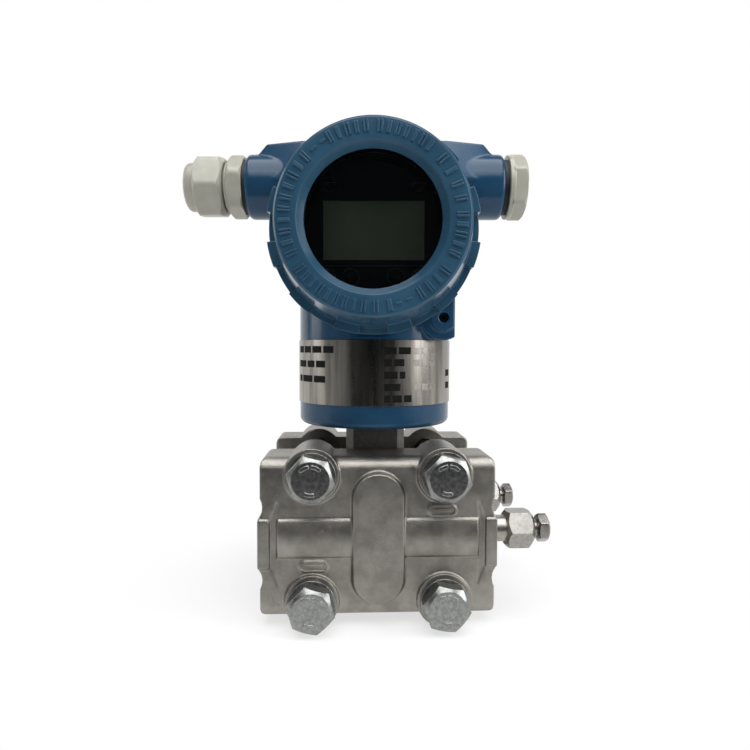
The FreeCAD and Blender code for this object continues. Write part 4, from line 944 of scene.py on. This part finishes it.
@dataclass
class DisplayUnit:
    """The display stack seen through the window."""

    finishes: Finishes
    face_y: float = -33.5
    rail_x: Pair = (-18.5, 18.5)
    rail_z: Pair = (-13.6, -13.1)
    rail_heights: Pair = (-0.1, 0.25)
    key_x: float = 8.5
    key_z: float = -17.5
    ring_radii: Pair = (3.0, 3.5)
    ring_heights: Pair = (-0.1, 0.2)
    ring_rounding: float = 0.08

    def separator(self) -> None:
        """Adds the thin rail under the panel and the rings round the keys."""
        form = Form().box(self.rail_x, self.rail_z, self.rail_heights)
        (inner, outer), (low, high) = self.ring_radii, self.ring_heights
        for side in (-1, 1):
            ring = Form().lathe([(inner, low), (outer, low), (outer, high, self.ring_rounding),
                                 (inner, high, self.ring_rounding)], 48, True)
            first = len(form.points)
            form.points += [point + Vector((side * self.key_x, self.key_z, 0)) for point in ring.points]
            form.faces += [[number + first for number in face] for face in ring.faces]
        form.build("display_face_trim", seat(Heading.FRONT, 0, self.face_y, COVER_AXIS, True),
                   self.finishes.key, "housing", "black_moulding", 0.05)

    def build(self) -> None:
        """Dresses each layer."""
        kit = self.finishes
        dress(kit.display, "display_frame", "button_left", "button_right")
        dress(kit.panel, "lcd_panel")
        # The display screws are dressed black as painted shade inside the window.
        dress(kit.blackened_and_shade, "display_screws")
        dress(kit.board, "display_board", "electronics_board")
        dress(kit.brass, "upper_standoffs", "lower_standoffs")
        self.separator()


@dataclass
class TerminalRoom:
    """What is in the rear compartment."""

    finishes: Finishes

    def build(self) -> None:
        """Dresses the block, its screws and the feedthrough."""
        dress(self.finishes.black, "terminal_block", "partition_feedthrough")
        dress(self.finishes.screw, "terminal_screws", "inner_earth_screw")


@dataclass
class CableGland:
    """The moulded gland in the left entry."""

    finishes: Finishes
    mouth_x: float = -54.0
    flats: float = 24.0
    washer: float = 1.2
    body_corner: float = 4.4
    body_circles: Pair = (12.4, 11.6)
    hex_length: float = 6.6
    collar_radius: float = 10.6
    collar_length: float = 1.1
    stub_radius: float = 9.3
    stub_length: float = 9.0
    bore: float = 7.6
    thread_radius: float = 10.0
    thread_length: float = 11.0
    nut_gap: float = 0.5
    nut_length: float = 16.8
    nut_corner: float = 3.2
    nut_circles: Pair = (11.2, 11.8)
    dome_length: float = 4.6
    dome_radius: float = 10.2
    dome_rounding: float = 4.2
    nut_bore: float = 9.6
    seal_gap: float = 0.07
    mouth: float = 5.8
    overlap: float = 1.0
    thread_margins: Pair = (0.8, 1.0)
    slope: float = 40.0
    body_turn: float = 16.0
    nut_turn: float = -8.0

    @property
    def place(self) -> Matrix:
        """The entry's frame, its Z axis pointing out of the conduit."""
        return seat(Heading.LEFT, self.mouth_x, 0, ENTRY_AXIS, True)

    def body(self) -> None:
        """Builds the hexagon with its thread, collar and stub."""
        start = self.washer
        end = start + self.hex_length
        neck, tip = end + self.collar_length, end + self.stub_length
        form = Form().bar(hexagon(self.flats, self.body_corner, self.body_turn), start, end,
                          self.body_circles, self.slope, self.bore)
        form.lathe([(self.bore, -self.thread_length), (self.thread_radius, -self.thread_length, 0.5),
                    (self.thread_radius, start + self.overlap), (self.bore, start + self.overlap)], 72, True)
        form.lathe([(self.bore, end - self.overlap), (self.collar_radius, end - self.overlap),
                    (self.collar_radius, neck, 0.35), (self.stub_radius, neck), (self.stub_radius, tip, 0.4),
                    (self.bore, tip, 0.4)], 72, True)
        form.thread(self.stub_radius, MOULDED_PITCH, neck + self.thread_margins[0],
                    tip - self.thread_margins[1], MOULDED_RISE)
        piece = form.build("gland_body_moulding", self.place, self.finishes.nylon, "housing", "grey_nylon", 0.25)
        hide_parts("gland_body")

    def nut(self) -> None:
        """Builds the domed nut."""
        start = self.washer + self.hex_length + self.collar_length + self.nut_gap
        end = start + self.nut_length
        shoulder = end - self.dome_length
        form = Form().bar(hexagon(self.flats, self.nut_corner, self.nut_turn), start, shoulder,
                          self.nut_circles, self.slope, self.nut_bore)
        form.lathe([(self.nut_bore, shoulder - self.overlap), (self.dome_radius, shoulder - self.overlap),
                    (self.dome_radius, end, self.dome_rounding), (self.mouth, end, 0.7),
                    (self.mouth, shoulder + self.seal_gap), (self.nut_bore, shoulder + self.seal_gap)], 96, True)
        piece = form.build("gland_nut_moulding", self.place, self.finishes.nylon, "gland_nut", "grey_nylon", 0.25)
        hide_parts("gland_nut")

    def build(self) -> None:
        """Builds both mouldings and dresses the rubber."""
        self.body()
        self.nut()
        dress(self.finishes.rubber, "gland_washer", "gland_seal")


@dataclass
class BlankingPlug:
    """The moulded plug in the right entry."""

    finishes: Finishes
    mouth_x: float = 54.0
    flats: float = 24.0
    corner: float = 1.8
    washer: float = 1.8
    collar_radius: float = 13.3
    collar_length: float = 2.2
    hex_length: float = 5.2
    hex_circle: float = 12.4
    thread_radius: float = 10.0
    thread_length: float = 11.0
    bore: float = 7.0
    slope: float = 40.0
    overlap: float = 0.6
    thread_margins: Pair = (1.2, 0.6)
    turn: float = 39.0

    def build(self) -> None:
        """Builds the plug."""
        start = self.washer + self.collar_length
        end = start + self.hex_length
        form = Form().bar(hexagon(self.flats, self.corner, self.turn), start - self.overlap, end,
                          (0.0, self.hex_circle), self.slope)
        form.lathe([(0, self.washer - 0.01), (self.collar_radius, self.washer, 0.3),
                    (self.collar_radius, start, 0.5), (0, start)], 96)
        form.lathe([(self.bore, -self.thread_length), (self.thread_radius, -self.thread_length, 0.6),
                    (self.thread_radius, self.washer + 0.5), (self.bore, self.washer + 0.5)], 72, True)
        form.thread(self.thread_radius, MOULDED_PITCH, self.thread_margins[0] - self.thread_length,
                    -self.thread_margins[1], MOULDED_RISE)
        place = seat(Heading.RIGHT, self.mouth_x, 0, ENTRY_AXIS, True)
        piece = form.build("blanking_plug_moulding", place, self.finishes.nylon, "blanking_plug", "grey_nylon", 0.3)
        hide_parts("blanking_plug")
        dress(self.finishes.rubber, "plug_washer")


@dataclass
class FlangePair:
    """Both process flanges with the marks in their ovals, and the cell between them."""

    finishes: Finishes
    face_y: float = 38.0
    mark_x: float = 24.3
    mark_z: float = 10.5
    mark_length: float = 10.5
    mark_height: float = 4.0
    mark_heights: Pair = (0.3, 0.8)
    arc_steps: int = 12
    rim_width: float = 0.5
    bar_size: Pair = (6.4, 1.3)
    groove_x: Pair = (36.0, 42.5)
    groove_half: float = 19.7
    groove_floor: Pair = (-4.6, -0.4)
    plate_x: Pair = (41.1, 45.4)
    plate_z: Pair = (-11.3, 7.0)
    plate_depth: Pair = (-6.0, 0.7)

    def oval(self, form: Form, x: float, z: float) -> None:
        """Adds an oval's rim and the plain bar in it."""
        half = (self.mark_length - self.mark_height) / 2
        low, high = self.mark_heights
        rings = []
        for inset, height in ((0.0, low), (0.0, high), (self.rim_width, high), (self.rim_width, low)):
            radius = self.mark_height / 2 - inset
            points = []
            for side, first in ((1, -90), (-1, 90)):
                middle = Vector((x + side * half, z, 0))
                points += [polar(radius, first + step * 180 / self.arc_steps, height) + middle
                           for step in range(self.arc_steps + 1)]
            rings.append(form.ring(points))
        form.loft(rings, True)
        along, across = self.bar_size[0] / 2, self.bar_size[1] / 2
        form.box((x - along, x + along), (z - across, z + across), self.mark_heights)

    def marks(self, heading: Heading, name: str) -> None:
        """Raises both ovals of a flange."""
        form = Form()
        for side in (1, -1):
            self.oval(form, side * self.mark_x, side * self.mark_z)
        place = seat(heading, 0, (-1 if heading is Heading.FRONT else 1) * self.face_y, 0)
        form.build(name, place, self.finishes.cast, "sensor", "cast_stainless", 0.12)

    def pads(self, side: int) -> List[Tuple[Vector, Vector]]:
        """The blocks cast on to a flange: its end plates and the floors of its end grooves.

        Args:
            side: -1 for the front flange, 1 for the rear one.

        Returns:
            Their low and high corners in millimetres of the row frame.
        """
        found = []
        for end in (-1, 1):
            for xs, zs, depths in ((self.groove_x, (-self.groove_half, self.groove_half), self.groove_floor),
                                   (self.plate_x, self.plate_z, self.plate_depth)):
                x = sorted(CENTRE_X + end * value for value in xs)
                y = sorted(side * (self.face_y + value) for value in depths)
                z = sorted(-side * value for value in zs)
                found.append((Vector((x[0], y[0], z[0])), Vector((x[1], y[1], z[1]))))
        return found

    def build(self) -> None:
        """Casts both flanges and dresses what is between them."""
        kit = self.finishes
        for side, heading, sign in (("front", Heading.FRONT, -1), ("rear", Heading.REAR, 1)):
            cast_copy(f"{side}_flange_casting", "process_flange_" + side, 0.42, 2, 0.35, kit.cast, "sensor",
                      self.pads(sign))
            self.marks(heading, side + "_flange_ovals")
            dress(kit.turned, "isolating_diaphragm_" + side)
            dress(kit.white, "flange_seal_" + side)
        # The cell is dressed in the darker steel, as painted shade.
        dress(kit.neck, "sensor_cell")


@dataclass
class FlangeBolting:
    """The four bolts with marked heads, their washers and nuts."""

    finishes: Finishes
    spacing: Pair = (50.0, 48.0)
    seat_y: float = 39.5
    washer: float = 2.0
    flats: float = 16.0
    head: float = 7.2
    radius: float = 5.0
    nut: float = 8.0
    end: float = 3.0
    face_circle: float = 6.95
    chamfer: float = 38.0
    corner: float = 0.45
    collar_share: float = 0.93
    collar_height: float = 0.3
    overlap: float = 0.05
    shank_gap: float = 0.03
    shank_start: float = 0.1
    end_chamfer: Pair = (0.9, 1.0)
    turns: Tuple[float, ...] = (44.0, 47.0, 50.0, 46.0)
    marks: Tuple[Tuple[float, int], ...] = ((45.0, 2), (218.0, 1))
    mark_radii: Pair = (4.5, 5.7)
    mark_step: float = 50.0
    mark_half: float = 20.0
    mark_heights: Pair = (-0.1, 0.14)
    thread_pitch: float = 1.5
    thread_rise: float = 0.05
    thread_margins: Pair = (1.2, 0.2)

    def bolt(self, index: int, x: float, z: float) -> None:
        """Builds one bolt with raised bars on its head and a thread at its end."""
        turn = self.turns[index]
        circle = self.flats / 2 * self.collar_share
        rod = self.radius - self.shank_gap
        form = Form().bar(hexagon(self.flats, self.corner, turn), self.collar_height - self.overlap, self.head,
                          (0.0, self.face_circle), self.chamfer)
        form.lathe([(0, 0), (circle, 0), (circle, self.collar_height), (0, self.collar_height)], 48)
        length = 2 * (self.seat_y + self.washer) + self.nut + self.end
        inset, rise = self.end_chamfer
        form.lathe([(0, self.shank_start), (rod, self.shank_start), (rod, -length + rise),
                    (self.radius - inset, -length), (0, -length)], 48)
        heights = (self.head + self.mark_heights[0], self.head + self.mark_heights[1])
        for middle, count in self.marks:
            for step in range(count):
                angle = turn + middle + (step - (count - 1) / 2) * self.mark_step
                form.arc_block(self.mark_radii, (angle - self.mark_half, angle + self.mark_half), heights, 6)
        place = seat(Heading.FRONT, x, -self.seat_y - self.washer, z)
        form.build(f"flange_bolt_{index + 1}", place, self.finishes.bolt, "sensor", "bolt_steel", 0.12)
        first, last = self.thread_margins
        ridge = Form().thread(rod, self.thread_pitch, -length + first, -length + self.end - last,
                              self.thread_rise)
        ridge.build(f"flange_bolt_{index + 1}_thread", place, self.finishes.bolt, "sensor", "bolt_steel")

    def build(self) -> None:
        """Builds the bolts and dresses washers and nuts."""
        corners = [(sx * self.spacing[0] / 2, sz * self.spacing[1] / 2) for sx in (-1, 1) for sz in (-1, 1)]
        for index, (x, z) in enumerate(corners):
            self.bolt(index, x, z)
        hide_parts("flange_bolts")
        dress(self.finishes.bolt, "flange_washers", "flange_nuts")


@dataclass
class VentValve:
    """One vent valve with its bleed screw."""

    finishes: Finishes
    side: str
    y: float
    port_x: float = 45.5
    neck_length: float = 5.4
    hex_length: float = 11.0
    screw_radius: float = 3.0
    screw_reach: float = 11.0
    head_gap: float = 1.6
    head_flats: float = 10.0
    head_length: float = 4.9
    head_circle: float = 4.0
    head_corner: float = 0.3
    head_turn: float = 90.0
    overlap: float = 0.5
    thread_pitch: float = 1.0
    thread_rise: float = 0.24
    thread_margins: Pair = (0.6, 0.5)

    @property
    def place(self) -> Matrix:
        """The port's frame, its Z axis pointing out of the flange."""
        return seat(Heading.RIGHT, self.port_x, self.y, 0)

    def screw(self) -> None:
        """Builds the bleed screw with its rounded hexagon head."""
        start = self.neck_length + self.hex_length
        head = start + self.head_gap
        tip = start - self.screw_reach
        form = Form().bar(hexagon(self.head_flats, self.head_corner, self.head_turn), head,
                          head + self.head_length, (self.head_circle, self.head_circle))
        form.lathe([(0, tip), (self.screw_radius, tip, 0.5), (self.screw_radius, head + self.overlap),
                    (0, head + self.overlap)], 40)
        form.thread(self.screw_radius, self.thread_pitch, tip + self.thread_margins[0],
                    head - self.thread_margins[1], self.thread_rise)
        piece = form.build(f"{self.side}_bleed_screw_turned", self.place, self.finishes.bleed,
                           "bleed_screw_" + self.side, "machined_stainless", 0.15)
        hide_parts("bleed_screw_" + self.side)

    def build(self) -> None:
        """Builds the screw and dresses the valve body and ball."""
        self.screw()
        dress(self.finishes.vent, "vent_valve_body_" + self.side)
        dress(self.finishes.turned, "bleed_ball_" + self.side)


@dataclass
class Studio:
    """The pale floor, the backdrop, the lamps and the camera."""

    floor_z: float = -34.4
    camera_at: Triple = (32.65, -264.4, 71.7)
    yaw: float = 2.63
    pitch: float = 2.55
    roll: float = 0.18
    lens: float = 29.16
    paper: Colour = (0.82, 0.82, 0.82)
    white: Colour = (1.0, 1.0, 1.0)
    air: Colour = (0.9, 0.95, 1.0)
    air_strength: float = 0.16
    black: Colour = (0.02, 0.021, 0.023)
    shadow_reach: Pair = (0.05, 0.13)
    shadow_keep: float = 0.35
    floor_half: float = 2.5
    floor_back: float = 1.2
    curve_radius: float = 0.8
    curve_steps: int = 12
    wall_top: float = 3.0
    aim: Triple = (0.045, 0.0, 0.06)
    cards_x: Tuple[Pair, ...] = ((-0.75, 0.7), (-0.6, 0.65))
    card_y: float = -0.9
    card_top: float = 0.62
    card_foot: float = -0.03
    floor_card_end: float = -0.17
    floor_card_rise: float = 0.0005
    lamps: Tuple[Tuple[str, Triple, Pair, float], ...] = (
        ("overhead_lamp", (0.05, -0.3, 1.0), (1.0, 1.0), 13.0),
        ("front_lamp", (0.05, -0.95, 0.85), (0.9, 0.35), 3.0),
        ("left_lamp", (-1.0, 0.2, 0.45), (0.5, 0.8), 3.6),
        ("right_lamp", (1.0, -0.35, 0.45), (0.5, 0.8), 8.0))

    def camera(self) -> None:
        """Sets the camera where the photograph was taken from."""
        data = bpy.data.cameras.new("view")
        data.lens = self.lens
        data.sensor_width = 36.0
        data.clip_start = 0.01
        data.clip_end = 30.0
        camera = linked("view", data)
        yaw, pitch, roll = (math.radians(angle) for angle in (self.yaw, self.pitch, self.roll))
        turn = (Matrix.Rotation(-yaw, 4, "Z") @ Matrix.Rotation(math.pi / 2 - pitch, 4, "X")
                @ Matrix.Rotation(roll, 4, "Z"))
        camera.matrix_world = Matrix.Translation(Vector(self.camera_at) * MM) @ turn
        bpy.context.scene.camera = camera

    def backdrop_finish(self) -> bpy.types.Material:
        """A pale surface that the camera sees as plain white, with the object's soft shadow round its foot.

        Returns:
            The material.
        """
        graph = Graph("studio_paper")
        path = graph.node("ShaderNodeLightPath")
        seen = (Value(graph, path.outputs["Is Camera Ray"]) + Value(graph, path.outputs["Is Transmission Ray"])
                + Value(graph, path.outputs["Is Glossy Ray"])).at_most(1.0)
        offset = graph.node("ShaderNodeVectorMath", {0: graph.place, 1: (CENTRE_X * MM, 0.0, self.floor_z * MM)},
                            operation="SUBTRACT")
        away = graph.number("ShaderNodeVectorMath", {0: offset.outputs[0]}, "Value", operation="LENGTH")
        near = (1 - away.spread(*self.shadow_reach)) * self.shadow_keep
        lit = graph.node("ShaderNodeBsdfDiffuse", {"Color": self.paper})
        white = graph.node("ShaderNodeEmission", {"Color": self.white, "Strength": 1.0})
        return graph.ended(graph.shaders(seen * (1 - near), lit, white))

    def sweep(self) -> None:
        """Builds the floor that curves up into the backdrop."""
        half = self.floor_half
        floor = self.floor_z * MM
        path = [(-half, floor), (self.floor_back, floor)]
        for step in range(1, self.curve_steps + 1):
            angle = math.radians(90 * step / self.curve_steps)
            path.append((self.floor_back + self.curve_radius * math.sin(angle),
                         floor + self.curve_radius * (1 - math.cos(angle))))
        path.append((self.floor_back + self.curve_radius, self.wall_top))
        mesh = bpy.data.meshes.new("studio_sweep")
        points = [(x, y, z) for y, z in path for x in (-half, half)]
        faces = [(2 * i, 2 * i + 1, 2 * i + 3, 2 * i + 2) for i in range(len(path) - 1)]
        mesh.from_pydata(points, [], faces)
        mesh.shade_smooth()
        mesh.materials.append(self.backdrop_finish())
        sweep = linked("studio_sweep", mesh)

    def world(self) -> None:
        """Sets a plain world that the camera sees as white."""
        graph = Graph("studio_air", True)
        path = graph.node("ShaderNodeLightPath")
        air = graph.node("ShaderNodeBackground", {"Color": self.air, "Strength": self.air_strength})
        white = graph.node("ShaderNodeBackground", {"Color": self.white, "Strength": 1.0})
        graph.node("ShaderNodeOutputWorld", {0: graph.shaders(path.outputs["Is Camera Ray"], air, white)})
        bpy.context.scene.world = graph.owner

    def lamp(self, name: str, at: Triple, size: Pair, power: float) -> None:
        """Hangs a soft lamp that looks at the object's middle, in metres and watts."""
        data = bpy.data.lights.new(name, "AREA")
        data.shape = "RECTANGLE"
        data.size, data.size_y = size
        data.energy = power
        lamp = linked(name, data)
        lamp.location = at
        lamp.rotation_mode = "QUATERNION"
        lamp.rotation_quaternion = (Vector(self.aim) - Vector(at)).to_track_quat("-Z", "Y")

    def card(self, name: str, corners: Sequence[Triple]) -> None:
        """Places a dark card that is seen only in reflections."""
        mesh = bpy.data.meshes.new(name)
        mesh.from_pydata(corners, [], [(0, 1, 2, 3)])
        mesh.materials.append(Graph(name).surface({"Base Color": self.black, "Roughness": 0.9,
                                                   "Specular IOR Level": 0.0}))
        card = linked(name, mesh)
        card.visible_camera = False
        card.visible_diffuse = False
        card.visible_shadow = False

    def build(self) -> None:
        """Builds the studio."""
        self.camera()
        self.sweep()
        self.world()
        (left, right), (floor_left, floor_right) = self.cards_x
        near, foot, top = self.card_y, self.card_foot, self.card_top
        self.card("dark_card", [(left, near, foot), (right, near, foot), (right, near, top), (left, near, top)])
        floor, far = self.floor_z * MM + self.floor_card_rise, self.floor_card_end
        self.card("dark_floor_card", [(floor_left, near, floor), (floor_right, near, floor),
                                      (floor_right, far, floor), (floor_left, far, floor)])
        for name, at, size, power in self.lamps:
            self.lamp(name, at, size, power)
        bpy.context.scene.view_settings.view_transform = "Standard"


def main() -> None:
    """Builds every sub-assembly in order, then the studio."""
    logging.basicConfig(level=logging.INFO, format="%(message)s")
    finishes = Finishes()
    parts = [
        HousingCasting(finishes),
        NameBand(finishes),
        Cover(finishes, "front_cover", "front_cover", Heading.FRONT, 26.2, True),
        Cover(finishes, "rear_cover", "rear_cover", Heading.REAR, 18.0, False),
        DisplayUnit(finishes),
        TerminalRoom(finishes),
        CableGland(finishes),
        BlankingPlug(finishes),
        FlangePair(finishes),
        FlangeBolting(finishes),
        VentValve(finishes, "front", -27.0),
        VentValve(finishes, "rear", 27.0),
        Studio(),
    ]
    for part in parts:
        log.info("building %s", type(part).__name__)
        part.build()


if __name__ == "__main__":
    main()
